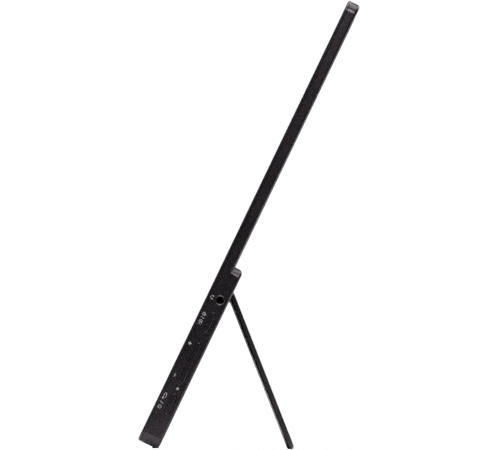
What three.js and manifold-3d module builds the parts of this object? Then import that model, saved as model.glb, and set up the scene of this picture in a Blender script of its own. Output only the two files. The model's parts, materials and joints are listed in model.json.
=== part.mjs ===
// A slim desktop digital photo frame with a fold-out stand, modelled as the assembly it is on a bench.
//
// Everything is in millimetres. Pieces are drawn in the panel's own frame: x runs across the width
// (towards the side that carries the keys), y runs from the screen's face to the back, and z runs up the
// panel from its lower edge. The panel then leans back about x until the pads under its lower edge and
// the foot of the open stand both rest on the plane z = 0, and the whole is centred over its footprint.
import * as THREE from "three";
import { mergeVertices } from "three/addons/utils/BufferGeometryUtils.js";
import Module from "manifold-3d";

const wasm = await Module();
wasm.setup();

// ---------------------------------------------------------------- driving dimensions

// Screen and the borders round it: these set the overall width and height.
const screenWidth = 344.2;
const screenHeight = 193.6;
const sideBorder = 6.4;
const topBorder = 8.0;
const bottomBorder = 22.4;

// Casing.
const panelDepth = 6.0; // front to back above the housing
const housingDepth = 10.4; // front to back through the housing
const housingHeight = 90.8; // lower edge to the top of the housing
const leanAngle = THREE.MathUtils.degToRad(25.2);
const cornerRadius = 5.0; // outline corners of the panel
const housingCornerRadius = 4.5; // upper outline corners of the housing
const frontRim = 0.8; // rounding round the screen side
const rearRim = 1.2; // rounding round the back of the panel
const housingRim = 2.4; // rounding of the housing's upper and lower rear edges
const housingSideRim = 1.0; // rounding of its rear edges down both sides
const sideWall = 1.6;
const rearWall = 1.1;
const housingWall = 1.3;
const postRadius = 2.6;

// Bezel.
const lipThickness = 1.0; // bezel material over the screen's edge
const seamDepth = 1.35; // where the bezel meets the rear cover
const seamGap = 0.1;
const rimWidth = 2.4;
const tongueThickness = 0.8;
const tongueLength = 0.95;
const tongueInnerRadius = 1.5;
const bossCap = 0.8; // bezel material in front of a screw boss's bore
const windowChamfer = 0.6;
const windowClearance = 0.3;

// Screen module, a stack of sheets in a steel tray.
const sheetGap = 0.1;
const cellThickness = 0.9;
const filmThickness = 0.35;
const lightGuideThickness = 0.7;
const reflectorThickness = 0.15;
const traySheet = 0.4;
const cellMargin = 2.0; // glass beyond the visible area
const trayClearance = 0.8; // tray to the bezel's tongue, at the sides and the top
const trayMarginBottom = 8.0;
const lampHeight = 2.0; // the lamp strip under the light guide
const standoffHeight = 1.2; // screw standoffs on the back of the tray
const standoffWall = 1.15;
const driverBoardSpan = [-120.0, 130.0];
const driverChips = 5;
const driverChipWidth = 12.0;
const driverChipPitch = 45.0;

// Keys, status light and sockets in the right side. The gaps run up the side from the lower edge:
// edge, power key, light, rocker, menu key, headphone socket, top of the housing. They share out
// whatever length the keys leave free.
const keyLength = 9.9;
const rockerLength = 20.4;
const keyWidth = 2.7;
const keyClearance = 0.15;
const keyProud = 0.4;
const keyTravel = 0.4;
const keyFlange = 0.8; // how far the flange reaches past the cap
const keyFlangeThickness = 0.6;
const keyFlangeGap = 0.45;
const controlDepth = 6.4; // from the screen's face to the centre line of the controls
const lightRadius = 0.6;
const socketNoseRadius = 2.3;
const socketBoreRadius = 1.8;
const controlGaps = [16.5, 2.0, 2.5, 5.6, 3.9, 14.4];
const nubRadius = 0.8;
const nubLength = 0.6;
const switchOffset = 7.0; // rocker centre to each of its switches
const switchWidth = 3.2;
const switchLength = 4.4;
const switchDepth = 1.4;
const plungerRadius = 0.7;
const plungerLength = 0.4;
const plungerGap = 0.05; // left when a key is pressed home
const keyBoardWidth = 4.3;
const keyBoardMargin = 1.5;
const lampLift = 0.7; // the status lamp on the key board
const jackBodyLength = 12.0;
const jackBodySize = [4.3, 6.0];
const jackEndWall = 1.0;

// Sockets in the left side, laid out between the screw posts in the same way, from the lower one up:
// card slot, data socket, power socket.
const portMouth = [8.9, 3.2];
const portShell = 0.3;
const portDepth = 7.0;
const portInset = 0.4; // mouth of a port behind the side's outer face
const portTongue = [0.7, 6.6];
const cardWidth = 24.6;
const cardMouth = 2.3;
const cardSocketDepth = 26.0;
const cardShell = 0.5;
const mouthClearance = 0.2;
const socketGaps = [4.5, 6.8, 6.8, 9.3];

// Circuit boards.
const boardThickness = 0.8;
const boardLift = 0.55; // clearance between the screen's tray and a board
const boardBesideHinge = 3.0;
const boardAboveSpeaker = 3.0;
const portBoardBeyondCard = 12.0;
const chipHeight = 1.1;
const tallPartHeight = 2.2;
const shieldSize = 30.0;
const shieldHeight = 2.1;
const shieldSheet = 0.25;
const shieldOffset = [15.0, 15.0]; // from the main board's inner lower corner
const processorSize = 14.0;
const processorHeight = 1.3;
const ribbonOffset = 34.0; // from the main board's inner edge
const ribbonWidth = 14.0;
const ribbonThickness = 0.25;
const keyRibbonWidth = 8.0;
const portRibbonWidth = 4.0;
const leadRadius = 0.45;

// Stand: a plate that folds into a recess in the back of the housing.
const legWidth = 110.0;
const legThickness = 2.7;
const legRim = 0.9;
const legTopRadius = 4.0;
const legTipRadius = 8.5;
const legGap = 0.5; // side gap between the plate and its recess
const legUnder = 0.5; // gap under the folded plate
const legTopOverhang = 0.4; // plate above the pivot
const legTipMargin = 0.35; // folded foot to the panel's lower edge
const recessWall = 1.2;
const recessCorner = 1.2;
const pivotBelowHousingTop = 10.85;
const stopClearance = 0.15;
const scoopWidth = 26.0;
const scoopHeight = 9.0;
const scoopCorner = 4.0;
const scoopDepth = 5.4; // from the screen's face to the bottom of the finger scoop
const footHeight = 3.0;
const footProud = 0.4;
const footFlat = 0.15;
const footTongue = 1.0;
const footTongueLength = 1.6;
const footTongueInset = 3.0;
const fittingGap = 0.1; // between pieces that plug together
const footInset = 14.0; // side edge of the leg to the end of the foot
const legPanelInset = [9.0, 14.0]; // shallow panel in the leg's outer face: from the sides and the foot
const legPanelTop = 10.0; // from the pivot
const legPanelDepth = 0.5;

// Stand hinges.
const knuckleLength = 10.0;
const knuckleRadius = 1.9;
const shaftRadius = 1.0;
const shaftClearance = 0.1;
const armFoot = 5.5;
const wellClearance = 0.2; // round the knuckles
const wellWall = 0.8;
const bracketLength = 10.0;
const bracketRadius = 1.7;
const bracketFlange = 1.0;
const bracketDrop = 17.0;
const bracketScrewDrops = [7.5, 13.5]; // from the pivot
const barrelClearance = 0.2; // bracket barrel to the housing's inside
const washerThickness = 0.8;
const nutThickness = 1.6;
const hingeStackGap = 0.2; // between bracket, washer and nut
const shaftBeyondNut = 0.4;
const shaftInset = 1.5; // knuckle's inner face to the end of the shaft
const partGap = 0.3;

// Screws, pads and speakers.
const screwShank = 0.9;
const screwHead = 1.8;
const screwHeadHeight = 0.9;
const screwClearance = 0.15;
const bossBottom = 0.5; // casing left behind a bracket screw
const headClearance = 0.3; // head of a cover screw below the surface
const crossWidth = 0.44;
const crossReach = 1.1;
const crossDepth = 0.45;
const lowerScrewHeight = 8.0;
const screwInset = 12.0; // lower screws, from the panel's side edge
const upperScrewInset = 18.0;
const upperScrewDrop = 5.6; // from the top of the housing
const postGap = 0.2; // between a screw post and the standoff it stands on
const padLength = 36.0;
const padWidth = 3.0;
const padDepth = 0.8;
const padProud = 0.25;
const padInset = 22.0;
const padEdge = 0.3;
const speakerLength = 40.0;
const speakerHeight = 14.0;
const speakerDepth = 3.8;
const speakerLift = 2.6; // above the lower wall
const speakerBesideRecess = 8.0;
const speakerRim = [6.0, 2.0]; // box's edge to the cone's
const coneDepth = 0.8;
const grilleSlots = 7;
const grilleSlotWidth = 1.6;
const grillePitch = 4.6;
const ventSlots = 8;
const ventSlotWidth = 1.8;
const ventSlotLength = 9.0;
const ventPitch = 6.0;
const ventDrop = 3.2; // below the rounding round the top of the housing
const ventBesideBracket = 12.0;
const weld = 0.2; // how far shapes that are joined run into each other

// ---------------------------------------------------------------- sizes worked out from them

const frameWidth = screenWidth + 2 * sideBorder;
const frameHeight = bottomBorder + screenHeight + topBorder;
const halfWidth = frameWidth / 2;
const innerHalfWidth = halfWidth - sideWall;
const innerTop = frameHeight - sideWall;
const panelInnerDepth = panelDepth - rearWall;
const housingInnerDepth = housingDepth - housingWall;
const screenBottom = bottomBorder;
const screenTop = bottomBorder + screenHeight;

const cellFront = lipThickness + sheetGap;
const filmFront = cellFront + cellThickness + sheetGap;
const guideFront = filmFront + filmThickness + sheetGap;
const reflectorFront = guideFront + lightGuideThickness + sheetGap;
const trayFloor = reflectorFront + reflectorThickness + sheetGap;
const trayBack = trayFloor + traySheet;
const tongueInset = sideWall + seamGap + tongueThickness; // casing's outside to the tongue's inside
const trayHalfWidth = halfWidth - tongueInset - trayClearance;
const trayBottom = screenBottom - trayMarginBottom;
const trayTop = frameHeight - tongueInset - trayClearance;
const boardFront = trayBack + boardLift;
const boardBack = boardFront + boardThickness;

const pivotHeight = housingHeight - pivotBelowHousingTop;
const pivotDepth = housingInnerDepth - bracketRadius - barrelClearance;
const legCentre = housingDepth - legThickness / 2 - pivotDepth; // plate's mid-plane from the pivot
const legLength = pivotHeight - legTipMargin;
const recessFloor = housingDepth - legThickness - legUnder;
const recessHalfWidth = legWidth / 2 + legGap;
const recessBlockHalf = recessHalfWidth + recessWall;
const footRadius = legThickness / 2;

// The open angle follows from the ground: the flat of the foot and the flats of the pads share z = 0.
const levelOf = (y, z) => z * Math.cos(leanAngle) - y * Math.sin(leanAngle);
const padFlatLevel = levelOf(housingDepth - housingRim, housingRim) - housingRim - padProud;
const footDrop = levelOf(pivotDepth, pivotHeight) - padFlatLevel - (footRadius - footFlat);
const footReach = Math.hypot(legLength - footRadius, legCentre);
const legFromVertical = Math.acos(footDrop / footReach) - Math.atan2(legCentre, legLength - footRadius);
const openAngle = leanAngle + legFromVertical;

// Top of the recess: the plate's upper rear edge comes to rest against it when the stand is open.
const legCornerY = legCentre + legThickness / 2 - legRim;
const legCornerZ = legTopOverhang - legRim;
const recessTop =
  pivotHeight + legCornerY * Math.sin(openAngle) + legCornerZ * Math.cos(openAngle) + legRim + stopClearance;

// Heights of the controls up the right side, and of the sockets up the left side.
function layOut(lengths, gaps, [from, to]) {
  const sum = (values) => values.reduce((a, b) => a + b, 0);
  const scale = (to - from - sum(lengths)) / sum(gaps);
  let edge = from;
  return lengths.map((length, i) => {
    const centre = edge + gaps[i] * scale + length / 2;
    edge = centre + length / 2;
    return centre;
  });
}
const [powerHeight, lightHeight, rockerHeight, menuHeight, jackHeight] = layOut(
  [keyLength, 2 * lightRadius, rockerLength, keyLength, 2 * socketNoseRadius],
  controlGaps,
  [0, housingHeight],
);
const portWidth = portMouth[0] + 2 * portShell;
const portHeight = portMouth[1] + 2 * portShell;
const portDepthCentre = controlDepth;
const [cardHeight, dataHeight, supplyHeight] = layOut(
  [cardWidth + 2 * cardShell, portWidth, portWidth],
  socketGaps,
  [lowerScrewHeight + postRadius, housingHeight - upperScrewDrop - postRadius],
);

// ---------------------------------------------------------------- materials

const finish = (color, roughness, metalness = 0) =>
  new THREE.MeshStandardMaterial({ color: new THREE.Color(...color), roughness, metalness });
const casingBlack = finish([0.022, 0.018, 0.021], 0.42);
const keyBlack = finish([0.016, 0.015, 0.017], 0.38);
const screenBlack = finish([0.012, 0.013, 0.016], 0.12);
const sheetWhite = finish([0.86, 0.87, 0.88], 0.45);
const sheetClear = finish([0.72, 0.78, 0.8], 0.15);
const plainSteel = finish([0.56, 0.57, 0.58], 0.38, 1);
const darkSteel = finish([0.05, 0.05, 0.055], 0.35, 0.9);
const boardGreen = finish([0.03, 0.14, 0.08], 0.5);
const chipBlack = finish([0.02, 0.02, 0.022], 0.5);
const rubberBlack = finish([0.03, 0.03, 0.031], 0.75);
const lightWhite = finish([0.9, 0.9, 0.88], 0.3);
const ribbonWhite = finish([0.8, 0.78, 0.7], 0.5);

// ---------------------------------------------------------------- tools for solids

// A three.js geometry as a manifold solid.
function solid(geometry) {
  const bare = geometry.index ? geometry.toNonIndexed() : geometry.clone();
  bare.deleteAttribute("normal");
  bare.deleteAttribute("uv");
  const merged = mergeVertices(bare, 1e-4);
  return new wasm.Manifold(
    new wasm.Mesh({
      numProp: 3,
      vertProperties: merged.attributes.position.array,
      triVerts: new Uint32Array(merged.index.array),
    }),
  );
}

// A manifold solid as a named three.js mesh.
function mesh(name, shape, material) {
  const found = shape.getMesh();
  const stride = found.numProp;
  const position = new Float32Array(found.numVert * 3);
  for (let i = 0; i < found.numVert; i++) {
    position.set(found.vertProperties.subarray(i * stride, i * stride + 3), i * 3);
  }
  const geometry = new THREE.BufferGeometry();
  geometry.setAttribute("position", new THREE.BufferAttribute(position, 3));
  geometry.setIndex(new THREE.BufferAttribute(found.triVerts, 1));
  geometry.computeVertexNormals();
  const made = new THREE.Mesh(geometry, material);
  made.name = name;
  return made;
}

const join = (...shapes) => shapes.reduce((a, b) => a.add(b));
const cut = (shape, ...tools) => tools.reduce((a, b) => a.subtract(b), shape);

// A block between two limits on each axis.
function block([x0, x1], [y0, y1], [z0, z1]) {
  const geometry = new THREE.BoxGeometry(x1 - x0, y1 - y0, z1 - z0);
  return solid(geometry.translate((x0 + x1) / 2, (y0 + y1) / 2, (z0 + z1) / 2));
}

// A rectangle with rounded corners; the upper corners may have their own radius.
function roundedRectangle([x0, x1], [z0, z1], lower, upper = lower) {
  const outline = new THREE.Shape();
  outline.absarc(x0 + lower, z0 + lower, lower, Math.PI, 1.5 * Math.PI);
  outline.absarc(x1 - lower, z0 + lower, lower, 1.5 * Math.PI, 2 * Math.PI);
  outline.absarc(x1 - upper, z1 - upper, upper, 0, 0.5 * Math.PI);
  outline.absarc(x0 + upper, z1 - upper, upper, 0.5 * Math.PI, Math.PI);
  outline.closePath();
  return outline;
}

// An outline in x and z, made solid from y0 to y1, with an optional rounding round both faces.
function slab(outline, [y0, y1], rim = 0, segments = 4) {
  const geometry = new THREE.ExtrudeGeometry(outline, {
    depth: y1 - y0 - 2 * rim,
    curveSegments: segments,
    bevelEnabled: rim > 0,
    bevelThickness: rim,
    bevelSize: rim,
    bevelOffset: -rim,
    bevelSegments: 3,
  });
  return solid(geometry.rotateX(Math.PI / 2).translate(0, y1 - rim, 0));
}

// An outline in y and z, made solid from x0 to x1.
function bar(outline, [x0, x1], segments = 4) {
  const geometry = new THREE.ExtrudeGeometry(outline, {
    depth: x1 - x0,
    curveSegments: segments,
    bevelEnabled: false,
  });
  const turn = new THREE.Matrix4().makeBasis(
    new THREE.Vector3(0, 1, 0),
    new THREE.Vector3(0, 0, 1),
    new THREE.Vector3(1, 0, 0),
  );
  return solid(geometry.applyMatrix4(turn).translate(x0, 0, 0));
}

// Round rods along x and along y.
function rodAcross([x0, x1], y, z, radius, sides = 16) {
  const geometry = new THREE.CylinderGeometry(radius, radius, x1 - x0, sides);
  return solid(geometry.rotateZ(Math.PI / 2).translate((x0 + x1) / 2, y, z));
}
function rodThrough(x, [y0, y1], z, radius, sides = 12) {
  const geometry = new THREE.CylinderGeometry(radius, radius, y1 - y0, sides);
  return solid(geometry.translate(x, (y0 + y1) / 2, z));
}

// A polygon from a list of points.
const polygon = (points) => new THREE.Shape(points.map(([a, b]) => new THREE.Vector2(a, b)));

// A stadium standing up the side: an outline in y and z.
const stadium = (y, z, width, length) =>
  roundedRectangle([y - width / 2, y + width / 2], [z - length / 2, z + length / 2], width / 2);

const mirrored = (shape) => shape.mirror([1, 0, 0]);
const beyond = 5; // how far a cutting tool runs past the face that it cuts

// ---------------------------------------------------------------- front bezel

const windowX = screenWidth / 2 + windowClearance;
const windowLow = screenBottom - windowClearance;
const windowHigh = screenTop + windowClearance;
const lowerScrewX = halfWidth - screwInset;
const upperScrewX = halfWidth - upperScrewInset;
const upperScrewHeight = housingHeight - upperScrewDrop;
const shankBore = screwShank + screwClearance;

function frontBezel() {
  const outline = roundedRectangle([-halfWidth, halfWidth], [0, frameHeight], cornerRadius);
  const face = slab(outline, [0, seamDepth + frontRim + beyond], frontRim).intersect(
    block([-halfWidth, halfWidth], [-1, seamDepth], [-1, frameHeight + 1]),
  );
  const rimInner = halfWidth - rimWidth;
  const behindLip = block([-rimInner, rimInner], [lipThickness, beyond], [rimWidth, frameHeight - rimWidth]);
  const opening = block([-windowX, windowX], [-1, beyond], [windowLow, windowHigh]);
  const ring = cut(join(cut(face, behindLip), bezelTongue()), opening, windowSlope());
  return join(ring, screwBoss(lowerScrewX), screwBoss(-lowerScrewX));
}

// The tongue that stands inside the rear cover's walls, all the way round.
function bezelTongue() {
  const outer = halfWidth - sideWall - seamGap;
  const inner = outer - tongueThickness;
  const low = sideWall + seamGap;
  const high = frameHeight - low;
  const depth = [seamDepth - weld, seamDepth + tongueLength];
  const inside = roundedRectangle(
    [-inner, inner],
    [low + tongueThickness, high - tongueThickness],
    tongueInnerRadius,
  );
  return cut(
    slab(roundedRectangle([-outer, outer], [low, high], cornerRadius - sideWall), depth),
    slab(inside, [0, beyond]),
  );
}

// A boss behind the bezel's lower border; the rear cover's post stands on it.
function screwBoss(x) {
  return cut(
    rodThrough(x, [lipThickness - weld, boardBack - seamGap], lowerScrewHeight, postRadius),
    rodThrough(x, [lipThickness + bossCap, boardBack + beyond], lowerScrewHeight, shankBore),
  );
}

// The slope from the bezel's face down to the screen: a four-sided frustum that is cut out of the face.
function windowSlope() {
  const frustum = new THREE.CylinderGeometry(1, 1, 1, 4, 1).rotateY(Math.PI / 4);
  const position = frustum.attributes.position;
  const halfHeight = (windowHigh - windowLow) / 2;
  for (let i = 0; i < position.count; i++) {
    const atFace = position.getY(i) < 0;
    const grow = atFace ? windowChamfer : 0;
    const sideOf = (value) => (Math.abs(value) < 1e-6 ? 0 : Math.sign(value));
    position.setXYZ(
      i,
      sideOf(position.getX(i)) * (windowX + grow),
      atFace ? 0 : windowChamfer,
      sideOf(position.getZ(i)) * (halfHeight + grow),
    );
  }
  return solid(frustum.translate(0, 0, (windowLow + windowHigh) / 2));
}

// ---------------------------------------------------------------- screen module

const stackHalfWidth = trayHalfWidth - traySheet - sheetGap;
const stackTop = trayTop - traySheet - sheetGap;
const stackBottom = trayBottom + traySheet + sheetGap;
const stackX = [-stackHalfWidth, stackHalfWidth];
const guideBottom = stackBottom + lampHeight + sheetGap;
const driverFront = cellFront + partGap;

const sheet = (x, front, thickness, z) => block(x, [front, front + thickness], z);

function screenCell() {
  const reach = screenWidth / 2 + cellMargin;
  const height = [screenBottom - cellMargin, screenTop + cellMargin];
  return sheet([-reach, reach], cellFront, cellThickness, height);
}
const diffuserFilms = () => sheet(stackX, filmFront, filmThickness, [stackBottom, stackTop]);
const lightGuide = () => sheet(stackX, guideFront, lightGuideThickness, [guideBottom, stackTop]);
const reflectorSheet = () => sheet(stackX, reflectorFront, reflectorThickness, [stackBottom, stackTop]);
const lampTop = guideBottom - sheetGap;
const backlightStrip = () => sheet(stackX, guideFront, lightGuideThickness, [stackBottom, lampTop]);

// The steel tray round the stack, with a standoff for each of the cover's upper screws.
function screenTray() {
  const outer = block([-trayHalfWidth, trayHalfWidth], [filmFront, trayBack], [trayBottom, trayTop]);
  const inner = block(
    [-trayHalfWidth + traySheet, trayHalfWidth - traySheet],
    [-beyond, trayFloor],
    [trayBottom + traySheet, trayTop - traySheet],
  );
  const standoffRadius = screwShank + standoffWall;
  const standoff = (x) =>
    cut(
      rodThrough(x, [trayBack - weld, trayBack + standoffHeight], upperScrewHeight, standoffRadius),
      rodThrough(x, [trayBack, trayBack + beyond], upperScrewHeight, shankBore),
    );
  return join(cut(outer, inner), standoff(upperScrewX), standoff(-upperScrewX));
}

function driverBoard() {
  const low = tongueInset + partGap;
  const high = trayBottom - partGap;
  const back = driverFront + boardThickness;
  const board = block(driverBoardSpan, [driverFront, back], [low, high]);
  const chips = Array.from({ length: driverChips }, (_, i) => {
    const x = (i - (driverChips - 1) / 2) * driverChipPitch;
    return block(
      [x - driverChipWidth / 2, x + driverChipWidth / 2],
      [back - weld, back + boardThickness],
      [low + 2.4, low + 5.2],
    );
  });
  return join(board, ...chips);
}

// ---------------------------------------------------------------- rear cover

const grilleCentre = recessBlockHalf + speakerBesideRecess + speakerLength / 2;
const speakerBottom = sideWall + speakerLift;
const speakerTop = speakerBottom + speakerHeight;
const cardDepthCentre = boardBack + fittingGap + cardShell + cardMouth / 2;
const wellX = [legWidth / 2 - knuckleLength - legGap, recessHalfWidth];
const wellZ = [pivotHeight - armFoot - legGap, recessTop];
const wellFloor = pivotDepth - knuckleRadius - wellClearance;
const bracketStart = recessBlockHalf + partGap;
const bracketEnd = bracketStart + bracketLength;
const bracketScrewX = bracketStart + bracketLength / 2;
const bracketScrewZ = bracketScrewDrops.map((drop) => pivotHeight - drop);
const bracketFlangeFront = pivotDepth - bracketFlange / 2;
const bracketBossFront = bracketFlangeFront + bracketFlange + fittingGap;
const upperPostFoot = trayBack + standoffHeight + postGap;

function casingBody() {
  const panelOutline = roundedRectangle([-halfWidth, halfWidth], [0, frameHeight], cornerRadius);
  const housingOutline = roundedRectangle(
    [-halfWidth, halfWidth],
    [0, housingHeight],
    cornerRadius,
    housingCornerRadius,
  );
  const behindSeam = block(
    [-halfWidth - 1, halfWidth + 1],
    [seamDepth + seamGap, housingDepth + 1],
    [-1, frameHeight + 1],
  );
  const sideProfile = roundedRectangle([-2 * beyond, housingDepth], [0, housingHeight], housingRim);
  const housing = slab(housingOutline, [-beyond, housingDepth], housingSideRim).intersect(
    bar(sideProfile, [-halfWidth - 1, halfWidth + 1]),
  );
  const outer = join(slab(panelOutline, [-beyond, panelDepth], rearRim), housing).intersect(behindSeam);
  const panelHollow = slab(
    roundedRectangle([-innerHalfWidth, innerHalfWidth], [sideWall, innerTop], cornerRadius - sideWall),
    [-beyond, panelInnerDepth],
  );
  const housingHollow = slab(
    roundedRectangle(
      [-innerHalfWidth, innerHalfWidth],
      [sideWall, housingHeight - sideWall],
      cornerRadius - sideWall,
      housingCornerRadius - sideWall,
    ),
    [-beyond, housingInnerDepth],
  );
  return cut(outer, cut(join(panelHollow, housingHollow), recessTubs()));
}

// Material left inside the housing round the stand's recess, its finger scoop and its knuckles.
function recessTubs() {
  const recess = block(
    [-recessBlockHalf, recessBlockHalf],
    [recessFloor - recessWall, housingDepth],
    [0, recessTop + recessWall],
  );
  const scoop = block(
    [-scoopWidth / 2 - recessWall, scoopWidth / 2 + recessWall],
    [scoopDepth - recessWall, housingDepth],
    [0, scoopHeight + recessWall],
  );
  const well = block(
    [wellX[0] - wellWall, wellX[1] + recessWall],
    [wellFloor - wellWall, recessFloor],
    [wellZ[0] - wellWall, wellZ[1] + recessWall],
  );
  return join(recess, scoop, well, mirrored(well));
}

// The hollows that take the folded stand.
function recessHollows() {
  const openBelow = -beyond;
  const recess = slab(
    roundedRectangle([-recessHalfWidth, recessHalfWidth], [openBelow, recessTop], recessCorner),
    [recessFloor, housingDepth + beyond],
  );
  const scoop = slab(
    roundedRectangle([-scoopWidth / 2, scoopWidth / 2], [openBelow, scoopHeight], scoopCorner),
    [scoopDepth, housingDepth + beyond],
  );
  const well = block(wellX, [wellFloor, recessFloor + weld], wellZ);
  const bore = rodAcross([legWidth / 2, bracketStart], pivotDepth, pivotHeight, shaftRadius + shaftClearance);
  return [recess, scoop, well, mirrored(well), bore, mirrored(bore)];
}

// Upright slots through the back wall, in a row centred on x.
function slotRow(centre, count, pitch, width, [z0, z1]) {
  const slots = Array.from({ length: count }, (_, i) => {
    const x = centre + (i - (count - 1) / 2) * pitch;
    const outline = roundedRectangle([x - width / 2, x + width / 2], [z0, z1], width / 2.2);
    return slab(outline, [housingInnerDepth - weld, housingDepth + beyond], 0, 1);
  });
  return join(...slots);
}

function speakerGrille() {
  const height = [speakerBottom + speakerRim[1], speakerTop - speakerRim[1]];
  return slotRow(grilleCentre, grilleSlots, grillePitch, grilleSlotWidth, height);
}

function ventRow() {
  const top = housingHeight - housingRim - ventDrop;
  const centre = bracketEnd + ventBesideBracket + ((ventSlots - 1) / 2) * ventPitch;
  return slotRow(centre, ventSlots, ventPitch, ventSlotWidth, [top - ventSlotLength, top]);
}

// Openings in both sides for the keys, the light and the sockets.
function sideOpenings() {
  const right = [innerHalfWidth - weld, halfWidth + beyond];
  const left = [-halfWidth - beyond, -innerHalfWidth + weld];
  const key = (height, length) => bar(stadium(controlDepth, height, keyWidth, length), right);
  const port = (height) => {
    const room = 2 * mouthClearance;
    return bar(stadium(portDepthCentre, height, portHeight + room, portWidth + room), left);
  };
  const halfMouth = [cardMouth / 2 + mouthClearance, cardWidth / 2 + mouthClearance];
  const card = roundedRectangle(
    [cardDepthCentre - halfMouth[0], cardDepthCentre + halfMouth[0]],
    [cardHeight - halfMouth[1], cardHeight + halfMouth[1]],
    cardMouth / 3,
  );
  return [
    key(powerHeight, keyLength),
    key(rockerHeight, rockerLength),
    key(menuHeight, keyLength),
    rodAcross(right, controlDepth, lightHeight, lightRadius + fittingGap),
    rodAcross(right, controlDepth, jackHeight, socketNoseRadius + fittingGap),
    port(dataHeight),
    port(supplyHeight),
    bar(card, left),
  ];
}

// The holes for a cover screw, and the hollow post that they run down.
function screwHoles(x, z, foot) {
  const hole = rodThrough(x, [foot - 1, housingDepth + 1], z, shankBore);
  const headSeat = housingDepth - screwHeadHeight - headClearance;
  return join(hole, rodThrough(x, [headSeat, housingDepth + 1], z, screwHead + screwClearance));
}
const screwPost = (x, z, foot) => rodThrough(x, [foot, housingInnerDepth + weld], z, postRadius);

function rearCover() {
  const bothSides = (x) => [x, -x];
  const coverScrews = [
    ...bothSides(lowerScrewX).map((x) => [x, lowerScrewHeight, boardBack]),
    ...bothSides(upperScrewX).map((x) => [x, upperScrewHeight, upperPostFoot]),
  ];
  const bracketScrews = bracketScrewZ.flatMap((z) => bothSides(bracketScrewX).map((x) => [x, z]));
  const bosses = bracketScrews.map(([x, z]) =>
    rodThrough(x, [bracketBossFront, housingInnerDepth + weld], z, screwHead + headClearance),
  );
  const bossHoles = bracketScrews.map(([x, z]) =>
    rodThrough(x, [bracketBossFront - 1, housingDepth - bossBottom], z, screwShank + fittingGap),
  );
  return cut(
    join(casingBody(), ...coverScrews.map((place) => screwPost(...place)), ...bosses),
    ...recessHollows(),
    ...sideOpenings(),
    ...coverScrews.map((place) => screwHoles(...place)),
    ...bossHoles,
    ...[speakerGrille(), ventRow()].flatMap((row) => [row, mirrored(row)]),
    bottomPad(1, seamGap),
    bottomPad(-1, seamGap),
  );
}

// ---------------------------------------------------------------- rubber pads in the lower rear edge

// A bar let into the rounded edge, its outer face level when the panel leans. With room, it is the
// pocket that takes the bar.
function bottomPad(side, room = 0) {
  const flat = housingRim + padProud;
  const outside = room > 0 ? beyond : 0;
  const section = roundedRectangle(
    [-padWidth / 2 - room, padWidth / 2 + room],
    [-flat - outside, -housingRim + padDepth + room],
    padEdge,
  );
  const centre = side * (halfWidth - padInset - padLength / 2);
  const made = bar(section, [centre - padLength / 2 - room, centre + padLength / 2 + room]);
  const level = THREE.MathUtils.radToDeg(leanAngle);
  return made.rotate([level, 0, 0]).translate([0, housingDepth - housingRim, housingRim]);
}

// ---------------------------------------------------------------- keys, their switches and the status light

const flangeOuter = innerHalfWidth - keyFlangeGap;
const flangeInner = flangeOuter - keyFlangeThickness;
const nubEnd = flangeInner - nubLength;
const plungerEnd = nubEnd - keyTravel - plungerGap;
const switchFront = plungerEnd - plungerLength;
const keyBoardFace = switchFront - switchDepth - fittingGap;
const keyBoardY = [trayBack + partGap, trayBack + partGap + keyBoardWidth];

// A key: the cap, a flange behind the wall that keeps it in, and a nub over each switch.
function key(height, length, nubs) {
  const capWidth = keyWidth - 2 * keyClearance;
  const capLength = length - 2 * keyClearance;
  const cap = bar(stadium(controlDepth, height, capWidth, capLength), [flangeInner, halfWidth + keyProud]);
  const flange = bar(stadium(controlDepth, height, capWidth + keyFlange, capLength + 2 * keyFlange), [
    flangeInner,
    flangeOuter,
  ]);
  const pushers = nubs.map((z) =>
    rodAcross([nubEnd, flangeInner + weld], controlDepth, height + z, nubRadius, 12),
  );
  return join(cap, flange, ...pushers);
}

function domeSwitch(height) {
  const body = block(
    [switchFront - switchDepth, switchFront],
    [controlDepth - switchWidth / 2, controlDepth + switchWidth / 2],
    [height - switchLength / 2, height + switchLength / 2],
  );
  return join(body, rodAcross([switchFront - weld, plungerEnd], controlDepth, height, plungerRadius, 12));
}

// A clear rod from the lamp on the key board to the side's outer face, with a collar behind the wall.
function lightPipe() {
  const span = [keyBoardFace + lampLift + fittingGap, halfWidth - fittingGap];
  const rod = rodAcross(span, controlDepth, lightHeight, lightRadius);
  const collarX = [innerHalfWidth - 1, innerHalfWidth - fittingGap];
  return join(rod, rodAcross(collarX, controlDepth, lightHeight, lightRadius + fittingGap + partGap));
}

function keyBoard() {
  const reach = keyLength / 2 + keyBoardMargin;
  const board = block(
    [keyBoardFace - boardThickness, keyBoardFace],
    keyBoardY,
    [powerHeight - reach, menuHeight + reach],
  );
  const lamp = block(
    [keyBoardFace - weld, keyBoardFace + lampLift],
    [controlDepth - lightRadius, controlDepth + lightRadius],
    [lightHeight - lightRadius, lightHeight + lightRadius],
  );
  return join(board, lamp);
}

// ---------------------------------------------------------------- sockets

function headphoneSocket() {
  const nose = rodAcross([innerHalfWidth - 0.5, halfWidth], controlDepth, jackHeight, socketNoseRadius, 24);
  const inner = innerHalfWidth - jackBodyLength;
  const body = block(
    [inner, innerHalfWidth - weld],
    [controlDepth - jackBodySize[0] / 2, controlDepth + jackBodySize[0] / 2],
    [jackHeight - jackBodySize[1] / 2, jackHeight + jackBodySize[1] / 2],
  );
  const bore = rodAcross(
    [inner + jackEndWall, halfWidth + 1],
    controlDepth,
    jackHeight,
    socketBoreRadius,
    24,
  );
  return cut(join(nose, body), bore);
}

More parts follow.
